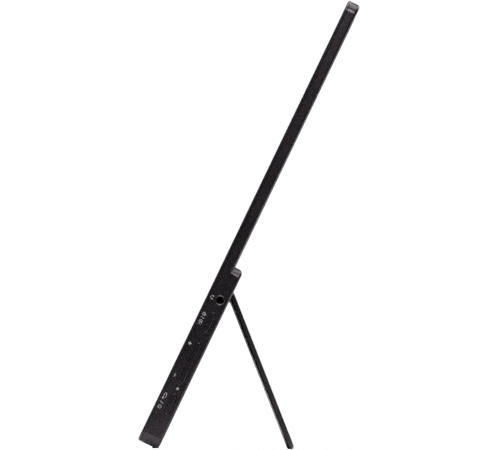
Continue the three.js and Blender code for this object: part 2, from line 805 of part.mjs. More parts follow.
// A reversible port: a shell with round ends, and a tongue in its mouth.
function port(height) {
  const mouthX = -halfWidth + portInset;
  const shell = bar(stadium(portDepthCentre, height, portHeight, portWidth), [mouthX, mouthX + portDepth]);
  const mouth = bar(stadium(portDepthCentre, height, portMouth[1], portMouth[0]), [
    mouthX - 1,
    mouthX + portDepth - 2 * portShell,
  ]);
  const tongue = block(
    [mouthX + 2 * portShell, mouthX + portDepth - portShell],
    [portDepthCentre - portTongue[0] / 2, portDepthCentre + portTongue[0] / 2],
    [height - portTongue[1] / 2, height + portTongue[1] / 2],
  );
  return join(cut(shell, mouth), tongue);
}

function cardSocket() {
  const mouthX = -innerHalfWidth + weld;
  const halfY = cardMouth / 2;
  const halfZ = cardWidth / 2;
  const body = block(
    [mouthX, mouthX + cardSocketDepth],
    [cardDepthCentre - halfY - cardShell, cardDepthCentre + halfY + cardShell],
    [cardHeight - halfZ - cardShell, cardHeight + halfZ + cardShell],
  );
  const mouth = block(
    [mouthX - 1, mouthX + cardSocketDepth - 2 * cardShell],
    [cardDepthCentre - halfY, cardDepthCentre + halfY],
    [cardHeight - halfZ, cardHeight + halfZ],
  );
  return cut(body, mouth);
}

// ---------------------------------------------------------------- circuit boards

const washerStart = bracketEnd + hingeStackGap;
const nutStart = washerStart + washerThickness + hingeStackGap;
const shaftEnd = nutStart + nutThickness + shaftBeyondNut;
const mainBoardX = [shaftEnd + boardBesideHinge, keyBoardFace - boardThickness - 2 * partGap];
const mainBoardZ = [speakerTop + boardAboveSpeaker, upperScrewHeight - postRadius - 4 * partGap];
const portBoardX = [-innerHalfWidth + 2 * partGap, -halfWidth + cardSocketDepth + portBoardBeyondCard];
const portBoardZ = [lowerScrewHeight + postRadius + 4 * partGap, portBoardTop()];
const ribbonPlug = boardBack + chipHeight + fittingGap;

// The port board ends above its upper port.
function portBoardTop() {
  return supplyHeight + portWidth / 2 + 2 * partGap;
}

// A plain block for a component, its lower inner corner given from the main board's.
function component([x, z], [width, height], tall) {
  const left = mainBoardX[0] + x;
  const low = mainBoardZ[0] + z;
  return block([left, left + width], [boardBack - weld, boardBack + tall], [low, low + height]);
}

function mainBoard() {
  const board = block(mainBoardX, [boardFront, boardBack], mainBoardZ);
  const jackNotch = block(
    [innerHalfWidth - jackBodyLength - partGap, innerHalfWidth],
    [0, housingDepth],
    [jackHeight - jackBodySize[1] / 2 - partGap, housingHeight],
  );
  return join(
    cut(board, jackNotch),
    component([3, 4], [9, 9], chipHeight),
    component([3, 18], [7, 10], chipHeight),
    component([50, 6], [8, 6], tallPartHeight),
    component([50, 16], [8, 6], tallPartHeight),
    component([62, 30], [12, 8], chipHeight),
    component([ribbonOffset, 1], [ribbonWidth + 3, 3.4], chipHeight),
  );
}

// The two ports sit in notches in their board's edge; the card socket lies on its face.
function portBoard() {
  const board = block(portBoardX, [boardFront, boardBack], portBoardZ);
  const notch = (height) =>
    block(
      [-halfWidth, -halfWidth + portInset + portDepth + partGap],
      [0, housingDepth],
      [height - portWidth / 2 - partGap, height + portWidth / 2 + partGap],
    );
  return cut(board, notch(dataHeight), notch(supplyHeight));
}

const shieldX = mainBoardX[0] + shieldOffset[0];
const shieldZ = mainBoardZ[0] + shieldOffset[1];

function shieldCan() {
  const back = boardBack + fittingGap + shieldHeight;
  const can = block(
    [shieldX, shieldX + shieldSize],
    [boardBack + fittingGap, back],
    [shieldZ, shieldZ + shieldSize],
  );
  const inside = block(
    [shieldX + shieldSheet, shieldX + shieldSize - shieldSheet],
    [0, back - shieldSheet],
    [shieldZ + shieldSheet, shieldZ + shieldSize - shieldSheet],
  );
  return cut(can, inside);
}

function processor() {
  const x = shieldX + (shieldSize - processorSize) / 2;
  const z = shieldZ + (shieldSize - processorSize) / 2;
  const front = boardBack + fittingGap;
  return block([x, x + processorSize], [front, front + processorHeight], [z, z + processorSize]);
}

// ---------------------------------------------------------------- ribbons, speakers and leads

// A line of points, thickened sideways into the section of a flat ribbon.
function ribbonSection(points) {
  const back = points
    .slice()
    .reverse()
    .map(([a, b]) => [a + ribbonThickness, b - ribbonThickness]);
  return polygon([...points, ...back]);
}

// From the driver board, round the lower edge of the tray, to the main board.
function screenRibbon() {
  const start = driverFront + boardThickness + fittingGap;
  const points = [
    [start, tongueInset + 2.4],
    [start, trayBottom - 2.2],
    [boardFront - 0.1, trayBottom + 0.2],
    [boardFront + 0.1, mainBoardZ[0] - 2.6],
    [ribbonPlug, mainBoardZ[0] - 0.6],
    [ribbonPlug, mainBoardZ[0] + 3.5],
  ];
  const x = mainBoardX[0] + ribbonOffset + 1.5;
  return bar(ribbonSection(points), [x, x + ribbonWidth]);
}

// From the key board's inner face to the main board.
function keyRibbon() {
  const face = keyBoardFace - boardThickness - partGap;
  const high = controlDepth + 1.6;
  const plug = boardBack + fittingGap;
  const line = [
    [face, high],
    [face - 3.4, high],
    [face - 6.2, plug],
    [face - 10, plug],
  ];
  const back = line
    .slice()
    .reverse()
    .map(([x, y]) => [x + ribbonThickness / 2, y + ribbonThickness]);
  const section = new THREE.ExtrudeGeometry(polygon([...line, ...back]), {
    depth: keyRibbonWidth,
    bevelEnabled: false,
  });
  return solid(section.translate(0, 0, rockerHeight - keyRibbonWidth / 2));
}

// From the port board, over the stand's recess, to the main board.
function portRibbon() {
  const level = boardBack + fittingGap;
  return block(
    [portBoardX[1] - 4, mainBoardX[0] + 4],
    [level, level + ribbonThickness],
    [channelHeight - portRibbonWidth / 2, channelHeight + portRibbonWidth / 2],
  );
}

function speaker(side) {
  const x = side * grilleCentre;
  const spanX = [x - speakerLength / 2, x + speakerLength / 2];
  const back = housingInnerDepth - partGap;
  const box = slab(roundedRectangle(spanX, [speakerBottom, speakerTop], 2.5), [back - speakerDepth, back]);
  const cone = roundedRectangle(
    [spanX[0] + speakerRim[0], spanX[1] - speakerRim[0]],
    [speakerBottom + speakerRim[1], speakerTop - speakerRim[1]],
    (speakerHeight - 2 * speakerRim[1]) / 2.1,
  );
  return cut(box, slab(cone, [back - coneDepth, back + 1]));
}

// A thin round lead along a route of points.
function lead(points) {
  const route = points.map((point) => new THREE.Vector3(...point));
  const path = new THREE.CatmullRomCurve3(route, false, "catmullrom", 0.3);
  const section = new THREE.Shape();
  section.absarc(0, 0, leadRadius, 0, 2 * Math.PI);
  return solid(new THREE.ExtrudeGeometry(section, { steps: 24, curveSegments: 4, extrudePath: path }));
}

const channelHeight = (recessTop + recessWall + housingHeight - sideWall) / 2;
const leadDepth = (boardBack + housingInnerDepth) / 2 + 0.4;
const leadStart = speakerTop + partGap;
const rightLeadRoute = [
  [grilleCentre - 12, leadDepth, leadStart],
  [grilleCentre - 12, leadDepth, leadStart + 2],
  [grilleCentre - 9, leadDepth, leadStart + 6],
  [grilleCentre - 6, leadDepth, leadStart + 12],
];
const leftLeadRoute = [
  [-grilleCentre, leadDepth, leadStart],
  [-grilleCentre, leadDepth, leadStart + 4],
  [-grilleCentre - 4, leadDepth, pivotHeight - 16],
  [-grilleCentre, leadDepth, pivotHeight],
  [-grilleCentre + 12, leadDepth, channelHeight - 0.5],
  [-recessBlockHalf, leadDepth, channelHeight],
  [0, leadDepth, channelHeight],
  [recessBlockHalf, leadDepth, channelHeight],
  [mainBoardX[0] - 1, leadDepth, channelHeight - 1.5],
  [mainBoardX[0] + 6, leadDepth, mainBoardZ[1] - 4],
];

// ---------------------------------------------------------------- stand, drawn folded from its pivot

const plateBack = legCentre + legThickness / 2;
const plateFront = legCentre - legThickness / 2;
const footHalf = legWidth / 2 - footInset;
const footTop = -legLength + footHeight;

function standLeg() {
  const outline = roundedRectangle(
    [-legWidth / 2, legWidth / 2],
    [-legLength + footProud, legTopOverhang],
    legTipRadius,
    legTopRadius,
  );
  const plate = slab(outline, [plateFront, plateBack], legRim, 5);
  const footSeat = block(
    [-footHalf - fittingGap, footHalf + fittingGap],
    [plateFront - 1, plateBack + 1],
    [-legLength - 1, footTop + fittingGap],
  );
  const shallowPanel = roundedRectangle(
    [-legWidth / 2 + legPanelInset[0], legWidth / 2 - legPanelInset[0]],
    [-legLength + legPanelInset[1], -legPanelTop],
    cornerRadius,
  );
  const tongue = block(
    [-footHalf + footTongueInset, footHalf - footTongueInset],
    [legCentre - footTongue / 2, legCentre + footTongue / 2],
    [footTop - footTongueLength, footTop + 2 * weld],
  );
  const rightKnuckle = legWidth / 2 - knuckleLength;
  const leftKnuckle = -legWidth / 2;
  return cut(
    join(
      cut(plate, footSeat, slab(shallowPanel, [plateBack - legPanelDepth, plateBack + 1])),
      tongue,
      knuckle(rightKnuckle),
      knuckle(leftKnuckle),
    ),
    knuckleBore(rightKnuckle),
    knuckleBore(leftKnuckle),
  );
}

// A barrel round the pivot with an arm that runs down into the plate.
function knuckle(start) {
  const span = [start, start + knuckleLength];
  const arm = polygon([
    [-0.74 * knuckleRadius, -0.66 * knuckleRadius],
    [plateFront + weld, -armFoot],
    [plateFront + weld, legTopOverhang - weld],
    [0, knuckleRadius],
  ]);
  return join(bar(arm, span), rodAcross(span, 0, 0, knuckleRadius, 20));
}
const knuckleBore = (start) =>
  rodAcross([start - 1, start + knuckleLength + 1], 0, 0, shaftRadius + shaftClearance);

// Rubber foot: a strip along the tip with a round nose, flattened where it meets the ground.
function standFoot() {
  const section = new THREE.Shape();
  const noseZ = -legLength + footRadius;
  const down = -Math.PI / 2 - legFromVertical; // direction of the ground in the leg's own frame
  const half = Math.acos((footRadius - footFlat) / footRadius);
  section.moveTo(plateFront, footTop);
  section.lineTo(plateFront, noseZ);
  section.absarc(legCentre, noseZ, footRadius, -Math.PI, down - half, false);
  section.absarc(legCentre, noseZ, footRadius, down + half, 0, false);
  section.lineTo(plateBack, footTop);
  section.closePath();
  const groove = block(
    [-footHalf + footTongueInset - weld, footHalf - footTongueInset + weld],
    [legCentre - footTongue / 2 - fittingGap, legCentre + footTongue / 2 + fittingGap],
    [footTop - footTongueLength - weld, footTop + 1],
  );
  return cut(bar(section, [-footHalf, footHalf], 8), groove);
}

// ---------------------------------------------------------------- stand hinge, its right-hand side

const shaftStart = legWidth / 2 - knuckleLength + shaftInset;

const hingeShaft = () => rodAcross([shaftStart, shaftEnd], 0, 0, shaftRadius);

// A washer or a nut: a disc round the shaft.
const disc = (start, thickness, sides) =>
  cut(
    rodAcross([start, start + thickness], 0, 0, bracketRadius, sides),
    rodAcross([start - 1, start + thickness + 1], 0, 0, shaftRadius + shaftClearance),
  );
const hingeWasher = () => disc(washerStart, washerThickness, 20);
const hingeNut = () => disc(nutStart, nutThickness, 6);

// Drawn in the panel's frame: a barrel round the shaft, with a flange for two screws.
function hingeBracket() {
  const span = [bracketStart, bracketEnd];
  const barrel = rodAcross(span, pivotDepth, pivotHeight, bracketRadius, 20);
  const flange = block(
    span,
    [bracketFlangeFront, bracketFlangeFront + bracketFlange],
    [pivotHeight - bracketDrop, pivotHeight],
  );
  const bore = rodAcross([span[0] - 1, span[1] + 1], pivotDepth, pivotHeight, shaftRadius + shaftClearance);
  const holes = bracketScrewZ.map((z) => rodThrough(bracketScrewX, [0, housingDepth], z, shankBore));
  return cut(join(barrel, flange), bore, ...holes);
}

// ---------------------------------------------------------------- screws

// A cross-head screw along y, from its head's seat to its tip. The head is on the side away from the tip.
function screw(x, z, seat, tip) {
  const headwards = Math.sign(seat - tip);
  const span = (a, b) => [Math.min(a, b), Math.max(a, b)];
  const headEnd = seat + headwards * screwHeadHeight;
  const head = rodThrough(x, span(seat, headEnd), z, screwHead, 16);
  const shank = rodThrough(x, span(seat + headwards * weld, tip), z, screwShank, 10);
  const recess = span(headEnd - headwards * crossDepth, headEnd + headwards);
  const across = [crossReach, crossWidth / 2];
  const slots = [across, across.slice().reverse()].map(([dx, dz]) =>
    block([x - dx, x + dx], recess, [z - dz, z + dz]),
  );
  return cut(join(head, shank), ...slots);
}

const coverScrewSeat = housingDepth - screwHeadHeight - headClearance + postGap / 2;
const lowerCoverScrew = (x) => screw(x, lowerScrewHeight, coverScrewSeat, lipThickness + bossCap + partGap);
const upperCoverScrew = (x) => screw(x, upperScrewHeight, coverScrewSeat, trayBack + partGap);
const bracketScrewTip = housingDepth - bossBottom - partGap;
const bracketScrew = (x, z) => screw(x, z, bracketFlangeFront - fittingGap, bracketScrewTip);

// ---------------------------------------------------------------- assembly

const panel = new THREE.Group(); // the panel's frame
const stand = new THREE.Group(); // the stand's frame, its pivot at the origin
const addTo = (group) => (name, shape, material) => group.add(mesh(name, shape, material));
const toPanel = addTo(panel);
const toStand = addTo(stand);

toPanel("front_bezel", frontBezel(), casingBlack);
toPanel("screen_cell", screenCell(), screenBlack);
toPanel("diffuser_films", diffuserFilms(), sheetWhite);
toPanel("light_guide", lightGuide(), sheetClear);
toPanel("reflector_sheet", reflectorSheet(), sheetWhite);
toPanel("backlight_strip", backlightStrip(), lightWhite);
toPanel("screen_tray", screenTray(), plainSteel);
toPanel("screen_driver_board", driverBoard(), boardGreen);
toPanel("screen_ribbon", screenRibbon(), ribbonWhite);
toPanel("rear_cover", rearCover(), casingBlack);
toPanel("main_board", mainBoard(), boardGreen);
toPanel("shield_can", shieldCan(), plainSteel);
toPanel("processor", processor(), chipBlack);
toPanel("headphone_socket", headphoneSocket(), darkSteel);
toPanel("port_board", portBoard(), boardGreen);
toPanel("port_ribbon", portRibbon(), ribbonWhite);
toPanel("power_socket", port(supplyHeight), plainSteel);
toPanel("data_socket", port(dataHeight), plainSteel);
toPanel("card_socket", cardSocket(), plainSteel);
toPanel("key_board", keyBoard(), boardGreen);
toPanel("key_ribbon", keyRibbon(), ribbonWhite);
toPanel("menu_switch", domeSwitch(menuHeight), chipBlack);
toPanel("plus_switch", domeSwitch(rockerHeight + switchOffset), chipBlack);
toPanel("minus_switch", domeSwitch(rockerHeight - switchOffset), chipBlack);
toPanel("power_switch", domeSwitch(powerHeight), chipBlack);
toPanel("menu_button", key(menuHeight, keyLength, [0]), keyBlack);
toPanel("volume_rocker", key(rockerHeight, rockerLength, [switchOffset, -switchOffset]), keyBlack);
toPanel("power_button", key(powerHeight, keyLength, [0]), keyBlack);
toPanel("status_light_pipe", lightPipe(), lightWhite);
toPanel("speaker_right", speaker(1), chipBlack);
toPanel("speaker_left", speaker(-1), chipBlack);
toPanel("speaker_lead_right", lead(rightLeadRoute), chipBlack);
toPanel("speaker_lead_left", lead(leftLeadRoute), chipBlack);
toPanel("bottom_pad_right", bottomPad(1), rubberBlack);
toPanel("bottom_pad_left", bottomPad(-1), rubberBlack);
toStand("stand_leg", standLeg(), casingBlack);
toStand("stand_foot", standFoot(), rubberBlack);

for (const [side, sign] of [
  ["right", 1],
  ["left", -1],
]) {
  const handed = (shape) => (sign > 0 ? shape : mirrored(shape));
  const [upperScrew, lowerScrew] = bracketScrewZ;
  toPanel(`cover_screw_lower_${side}`, lowerCoverScrew(sign * lowerScrewX), darkSteel);
  toPanel(`cover_screw_upper_${side}`, upperCoverScrew(sign * upperScrewX), darkSteel);
  toPanel(`hinge_bracket_${side}`, handed(hingeBracket()), plainSteel);
  toPanel(`hinge_screw_upper_${side}`, bracketScrew(sign * bracketScrewX, upperScrew), plainSteel);
  toPanel(`hinge_screw_lower_${side}`, bracketScrew(sign * bracketScrewX, lowerScrew), plainSteel);
  toStand(`hinge_shaft_${side}`, handed(hingeShaft()), plainSteel);
  toStand(`hinge_washer_${side}`, handed(hingeWasher()), plainSteel);
  toStand(`hinge_nut_${side}`, handed(hingeNut()), plainSteel);
}

stand.position.set(0, pivotDepth, pivotHeight);
stand.rotation.x = openAngle;
panel.add(stand);
panel.rotation.x = -leanAngle;

// The whole frame, set down with the centre of its footprint at the origin.
const photoFrame = new THREE.Group();
photoFrame.add(panel);
photoFrame.updateMatrixWorld(true);
const extent = new THREE.Box3().setFromObject(panel, true);
const middle = extent.getCenter(new THREE.Vector3());
panel.position.set(-middle.x, -middle.y, -extent.min.z);

export default photoFrame;
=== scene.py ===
"""A slim digital photo frame on its fold-out stand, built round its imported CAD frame.

Sizes are metres in the property groups and millimetres while a piece is modelled. Pieces of the
panel are modelled upright in the panel's own frame: x across the width, y from the screen's face to
the back, z up from the lower edge. Pieces of the stand are modelled in the stand's frame, folded,
with the pivot at the origin. Each is then put in its place in the object's frame.
"""
import json
import math

import bmesh
import bpy
from bpy.props import FloatProperty, FloatVectorProperty, IntProperty, PointerProperty
from mathutils import Matrix, Vector


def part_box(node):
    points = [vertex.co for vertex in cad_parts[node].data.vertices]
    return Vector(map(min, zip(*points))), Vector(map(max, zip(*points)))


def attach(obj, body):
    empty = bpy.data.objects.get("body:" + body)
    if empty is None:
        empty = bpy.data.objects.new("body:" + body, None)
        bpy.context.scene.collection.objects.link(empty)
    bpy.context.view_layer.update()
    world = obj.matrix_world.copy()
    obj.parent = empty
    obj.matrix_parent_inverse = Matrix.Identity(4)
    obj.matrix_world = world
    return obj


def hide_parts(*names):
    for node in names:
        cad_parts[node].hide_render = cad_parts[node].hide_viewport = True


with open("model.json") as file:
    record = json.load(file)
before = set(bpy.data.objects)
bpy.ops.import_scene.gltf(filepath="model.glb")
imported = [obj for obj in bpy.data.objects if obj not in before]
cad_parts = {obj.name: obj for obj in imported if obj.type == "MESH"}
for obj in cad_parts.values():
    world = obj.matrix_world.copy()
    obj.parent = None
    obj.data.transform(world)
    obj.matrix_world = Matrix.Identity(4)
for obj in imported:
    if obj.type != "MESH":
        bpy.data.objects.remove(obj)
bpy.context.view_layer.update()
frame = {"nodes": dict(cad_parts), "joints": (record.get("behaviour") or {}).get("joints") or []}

bl_info = {
    "name": "Digital Photo Frame",
    "version": (1, 0, 0),
    "blender": (4, 5, 0),
    "location": "View3D > Sidebar > Photo Frame",
    "description": "Builds a slim digital photo frame with a fold-out stand round its CAD frame",
    "category": "Add Mesh",
}

MM = 0.001
X, Y, Z = 0, 1, 2
NEAR = 2e-6  # metres within which two places count as the same
WELD = 1e-7  # metres within which two points are joined in one

# ---------------------------------------------------------------- the frame's own places


def joint(name):
    return next(each for each in frame["joints"] if each["name"] == name)


def node_points(node, matrix):
    return [matrix @ vertex.co for vertex in frame["nodes"][node].data.vertices]


def panel_matrix():
    """The panel's own frame: its turn from the rocker's axis, its corner from the bezel."""
    axis = joint("volume_rock")["axis"]
    lean = math.atan2(-axis[Z], axis[Y])
    turn = Matrix.Rotation(-lean, 4, "X")
    points = node_points("front_bezel", turn.inverted())
    low = [min(point[i] for point in points) for i in (X, Y, Z)]
    middle = (low[X] + max(point[X] for point in points)) / 2
    return lean, turn @ Matrix.Translation((middle, low[Y], low[Z]))


LEAN, PANEL = panel_matrix()
OPEN = -math.radians(joint("stand_hinge")["range_deg"][0])
STAND = Matrix.Translation(joint("stand_hinge")["pos_m"]) @ Matrix.Rotation(OPEN - LEAN, 4, "X")
PIVOT = PANEL.inverted() @ Vector(joint("stand_hinge")["pos_m"]) / MM


def spans(node, matrix=PANEL):
    """The node's extent along x, y and z in the panel's or the stand's frame, in millimetres."""
    points = node_points(node, matrix.inverted())
    return [(min(p[i] for p in points) / MM, max(p[i] for p in points) / MM) for i in (X, Y, Z)]


def middle(span):
    return (span[0] + span[1]) / 2


def both_ways(half):
    return (-half, half)


# ---------------------------------------------------------------- modelling tools


def take(*pieces):
    """Leaves object mode with only these pieces selected, the first of them active."""
    if bpy.context.mode != "OBJECT":
        bpy.ops.object.mode_set(mode="OBJECT")
    bpy.ops.object.select_all(action="DESELECT")
    for piece in pieces:
        piece.select_set(True)
    if pieces:
        bpy.context.view_layer.objects.active = pieces[0]


def settle(piece):
    take(piece)
    bpy.ops.object.transform_apply(location=True, rotation=True, scale=True)


def add_block(x, y, z):
    take()
    bpy.ops.mesh.primitive_cube_add(
        size=1,
        location=[middle(span) * MM for span in (x, y, z)],
        scale=[(span[1] - span[0]) * MM for span in (x, y, z)],
    )
    made = bpy.context.active_object
    settle(made)
    return made


def add_rod(axis, span, centre, radius, sides=48):
    """A rod along an axis; the centre is given on the other two axes, in order."""
    take()
    place = list(centre)
    place.insert(axis, middle(span))
    turn = {X: (0, math.pi / 2, 0), Y: (math.pi / 2, 0, 0), Z: (0, 0, 0)}[axis]
    bpy.ops.mesh.primitive_cylinder_add(
        vertices=sides,
        radius=radius * MM,
        depth=(span[1] - span[0]) * MM,
        location=[value * MM for value in place],
        rotation=turn,
    )
    made = bpy.context.active_object
    settle(made)
    return made


def pick(piece, kind, test):
    """Opens the piece in edit mode with only those faces or edges selected that pass the test."""
    take(piece)
    bpy.ops.object.mode_set(mode="EDIT")
    bpy.ops.mesh.select_mode(type="FACE" if kind == "faces" else "EDGE")
    bpy.ops.mesh.select_all(action="DESELECT")
    shape = bmesh.from_edit_mesh(piece.data)
    chosen = [part for part in getattr(shape, kind) if test(part)]
    if not chosen:
        raise RuntimeError(f"no {kind} of {piece.name} were found to work on")
    for part in chosen:
        part.select_set(True)
    bmesh.update_edit_mesh(piece.data)


def runs_along(edge, axis):
    way = edge.verts[1].co - edge.verts[0].co
    return abs(way[axis]) > 0.999 * way.length


def lies_at(edge, axis, value):
    return all(abs(vertex.co[axis] - value * MM) < NEAR for vertex in edge.verts)


def bevel(piece, test, width, steps):
    pick(piece, "edges", test)
    bpy.ops.mesh.bevel(
        offset=width * MM, offset_type="OFFSET", segments=steps, profile=0.5, affect="EDGES"
    )
    bpy.ops.object.mode_set(mode="OBJECT")


def add_slab(x, y, z, lower, upper=None, back=0, front=0, steps=10, rim_steps=6):
    """A block with rounded outline corners, and rounded rims round its back and front faces."""
    made = add_block(x, y, z)
    for height, radius in ((z[0], lower), (z[1], lower if upper is None else upper)):
        if radius:
            bevel(made, lambda e: runs_along(e, Y) and lies_at(e, Z, height), radius, steps)
    for depth, rim in ((y[1], back), (y[0], front)):
        if rim:
            bevel(made, lambda e: lies_at(e, Y, depth), rim, rim_steps)
    return made


def slice_off(piece, point, outward):
    """Cuts the piece through a point, closes it there, and drops what lies outward."""
    pick(piece, "faces", lambda face: True)
    place = [value * MM for value in point]
    bpy.ops.mesh.bisect(plane_co=place, plane_no=outward, use_fill=True, clear_outer=True)
    bpy.ops.object.mode_set(mode="OBJECT")


def combine(piece, other, operation):
    take(piece)
    boolean = piece.modifiers.new("Boolean", "BOOLEAN")
    boolean.operation = operation
    boolean.solver = "EXACT"
    boolean.object = other
    bpy.ops.object.modifier_apply(modifier=boolean.name)
    bpy.data.objects.remove(other)
    if not piece.data.polygons:
        raise RuntimeError(f"nothing was left of {piece.name} after {operation}")
    return piece


def tidy_faces(piece):
    """Merges faces that lie in one plane, and drops the points left along straight edges."""
    pick(piece, "faces", lambda face: True)
    bpy.ops.mesh.dissolve_limited(angle_limit=math.radians(0.4))
    bpy.ops.object.mode_set(mode="OBJECT")


def weld(piece):
    """Joins points that coincide, which closes the edges that earlier cuts left open."""
    pick(piece, "faces", lambda face: True)
    bpy.ops.mesh.remove_doubles(threshold=WELD)
    bpy.ops.mesh.dissolve_degenerate(threshold=WELD)
    bpy.ops.object.mode_set(mode="OBJECT")


def cut(piece, *tools):
    for tool in tools:
        combine(piece, tool, "DIFFERENCE")
    return piece


def join(piece, *others):
    for other in others:
        combine(piece, other, "UNION")
    return piece


def copied(piece, matrix):
    """A copy with its own mesh, moved by a matrix whose lengths are metres."""
    made = piece.copy()
    made.data = piece.data.copy()
    bpy.context.scene.collection.objects.link(made)
    made.matrix_world = matrix
    settle(made)
    return made


def repeated(piece, matrices):
    """Separate copies that don't touch, joined in one object, in place of the piece."""
    made = [copied(piece, matrix) for matrix in matrices]
    bpy.data.objects.remove(piece)
    take(*made)
    if len(made) > 1:
        bpy.ops.object.join()
    return made[0]


def moved(x, y, z):
    return Matrix.Translation((x * MM, y * MM, z * MM))


# Frames on a face, their own z pointing out of it and their own y up the panel.
OUT_RIGHT = Matrix(((0, 0, 1, 0), (1, 0, 0, 0), (0, 1, 0, 0), (0, 0, 0, 1)))
OUT_LEFT = Matrix(((0, 0, -1, 0), (-1, 0, 0, 0), (0, 1, 0, 0), (0, 0, 0, 1)))
OUT_BACK = Matrix(((-1, 0, 0, 0), (0, 0, 1, 0), (0, 1, 0, 0), (0, 0, 0, 1)))


def flare(tool, width, length, lip, past=1.0):
    """Widens a cutting tool by the lip where it leaves the surface at z = 0, and runs it past."""

    def top(face):
        return face.normal.z > 0.99

    before = 0
    for grown, rise in ((lip * 0.45**2, lip * 0.6), (lip, lip * 0.4)):
        pick(tool, "faces", top)
        bpy.ops.mesh.extrude_region_move(TRANSFORM_OT_translate={"value": (0, 0, rise * MM)})
        bpy.ops.transform.resize(
            value=[(size + 2 * grown) / (size + 2 * before) for size in (width, length)] + [1],
            center_override=(0, 0, 0),
        )
        bpy.ops.object.mode_set(mode="OBJECT")
        before = grown
    pick(tool, "faces", top)
    bpy.ops.mesh.extrude_region_move(TRANSFORM_OT_translate={"value": (0, 0, past * MM)})
    bpy.ops.object.mode_set(mode="OBJECT")
    return tool


def slot_tool(width, length, depth, lip, corner=None, steps=8):
    """A tool for an opening with rounded corners, standing on z = 0 and reaching down."""
    tool = add_block(both_ways(width / 2), both_ways(length / 2), (-depth, -lip))
    radius = 0.49 * width if corner is None else corner
    bevel(tool, lambda e: runs_along(e, Z), radius, steps)
    return flare(tool, width, length, lip)


def hole_tool(radius, depth, lip, sides=48):
    tool = add_rod(Z, (-depth, -lip), (0, 0), radius, sides)
    return flare(tool, 2 * radius, 2 * radius, lip)


def place_tool(tool, outward, x, y, z):
    tool.matrix_world = moved(x, y, z) @ outward
    settle(tool)
    return tool


def hand_in(piece, name, matrix, body, material, replaces=(), angle=32):
    """Puts a modelled piece in its place in the object, shaded, with its finish and its body."""
    piece.name = name
    piece.data.name = name
    piece.matrix_world = matrix @ piece.matrix_world
    settle(piece)
    weld(piece)
    bpy.ops.object.shade_smooth_by_angle(angle=math.radians(angle))
    weighted = piece.modifiers.new("Weighted Normal", "WEIGHTED_NORMAL")
    weighted.keep_sharp = True
    weighted.weight = 100
    bpy.ops.object.modifier_apply(modifier=weighted.name)
    if not piece.data.materials:
        piece.data.materials.append(material)
    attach(piece, body)
    if replaces:
        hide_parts(*replaces)
    return piece


# ---------------------------------------------------------------- finishes


class Finish:
    """A material under construction: its node tree and the shader that everything leads to."""

    def __init__(self, name, **shader):
        self.material = bpy.data.materials.new(name)
        self.material.use_nodes = True
        self.tree = self.material.node_tree
        self.shader = self.tree.nodes["Principled BSDF"]
        for socket, value in shader.items():
            self.shader.inputs[socket.replace("_", " ").title().replace("Ior", "IOR")].default_value = value
        self.place = self.add("ShaderNodeTexCoord").outputs["Object"]

    def add(self, kind, inputs=None, **settings):
        made = self.tree.nodes.new(kind)
        for setting, value in settings.items():
            setattr(made, setting, value)
        for socket, value in (inputs or {}).items():
            if isinstance(value, bpy.types.NodeSocket):
                self.tree.links.new(value, made.inputs[socket])
            else:
                made.inputs[socket].default_value = value
        return made

    def lead(self, source, socket):
        self.tree.links.new(source, self.shader.inputs[socket])

    def noise(self, scale, detail=3, roughness=0.55, place=None):
        given = {"Vector": place or self.place, "Scale": scale, "Detail": detail, "Roughness": roughness}
        return self.add("ShaderNodeTexNoise", given).outputs["Fac"]

    def cells(self, scale):
        given = {"Vector": self.place, "Scale": scale}
        return self.add("ShaderNodeTexVoronoi", given).outputs["Distance"]

    def between(self, value, inside, outside):
        given = {
            "Value": value,
            "From Min": inside[0],
            "From Max": inside[1],
            "To Min": outside[0],
            "To Max": outside[1],
        }
        return self.add("ShaderNodeMapRange", given, clamp=True).outputs["Result"]

    def blend(self, share, first, second):
        mix = self.add("ShaderNodeMix", data_type="RGBA", blend_type="MIX")
        for index, value in ((0, share), (6, first), (7, second)):
            if isinstance(value, bpy.types.NodeSocket):
                self.tree.links.new(value, mix.inputs[index])
            elif index:
                mix.inputs[index].default_value = (*value[:3], 1)
            else:
                mix.inputs[index].default_value = value
        return mix.outputs[2]

    def maths(self, operation, first, second):
        made = self.add("ShaderNodeMath", {0: first, 1: second}, operation=operation)
        return made.outputs[0]

    def bump(self, height, depth, strength=1.0, under=None):
        given = {"Height": height, "Distance": depth * MM, "Strength": strength}
        if under:
            given["Normal"] = under
        return self.add("ShaderNodeBump", given).outputs["Normal"]

    def axes(self):
        parts = self.add("ShaderNodeSeparateXYZ", {0: self.place})
        return [parts.outputs[axis] for axis in "XYZ"]

    def in_panel(self, degrees):
        """Object coordinates turned back upright, so that a pattern lies square to the panel."""
        given = {"Vector": self.place, "Rotation": (math.radians(degrees), 0, 0)}
        turn = self.add("ShaderNodeMapping", given)
        self.place = turn.outputs["Vector"]

    def done(self, tone, patches, rough, height=None, depth=0.0):
        """Leads a colour, a roughness that varies in patches, and any bump to the shader."""
        self.lead(tone, "Base Color")
        self.lead(self.between(patches, (0.3, 0.7), rough), "Roughness")
        if height is not None:
            self.lead(self.bump(height, depth), "Normal")
        return self.material

    def dust(self, colour, amount, tint=(0.30, 0.28, 0.29)):
        """Fine dust that settles on faces turned upwards."""
        normal = self.add("ShaderNodeNewGeometry").outputs["Normal"]
        upward = self.add("ShaderNodeSeparateXYZ", {0: normal}).outputs["Z"]
        share = self.maths("MULTIPLY", self.between(upward, (0.3, 1), (0, amount)), self.noise(420, 6, 0.7))
        return self.blend(share, colour, tint)


def shade(colour, factor):
    return tuple(value * factor for value in colour[:3])


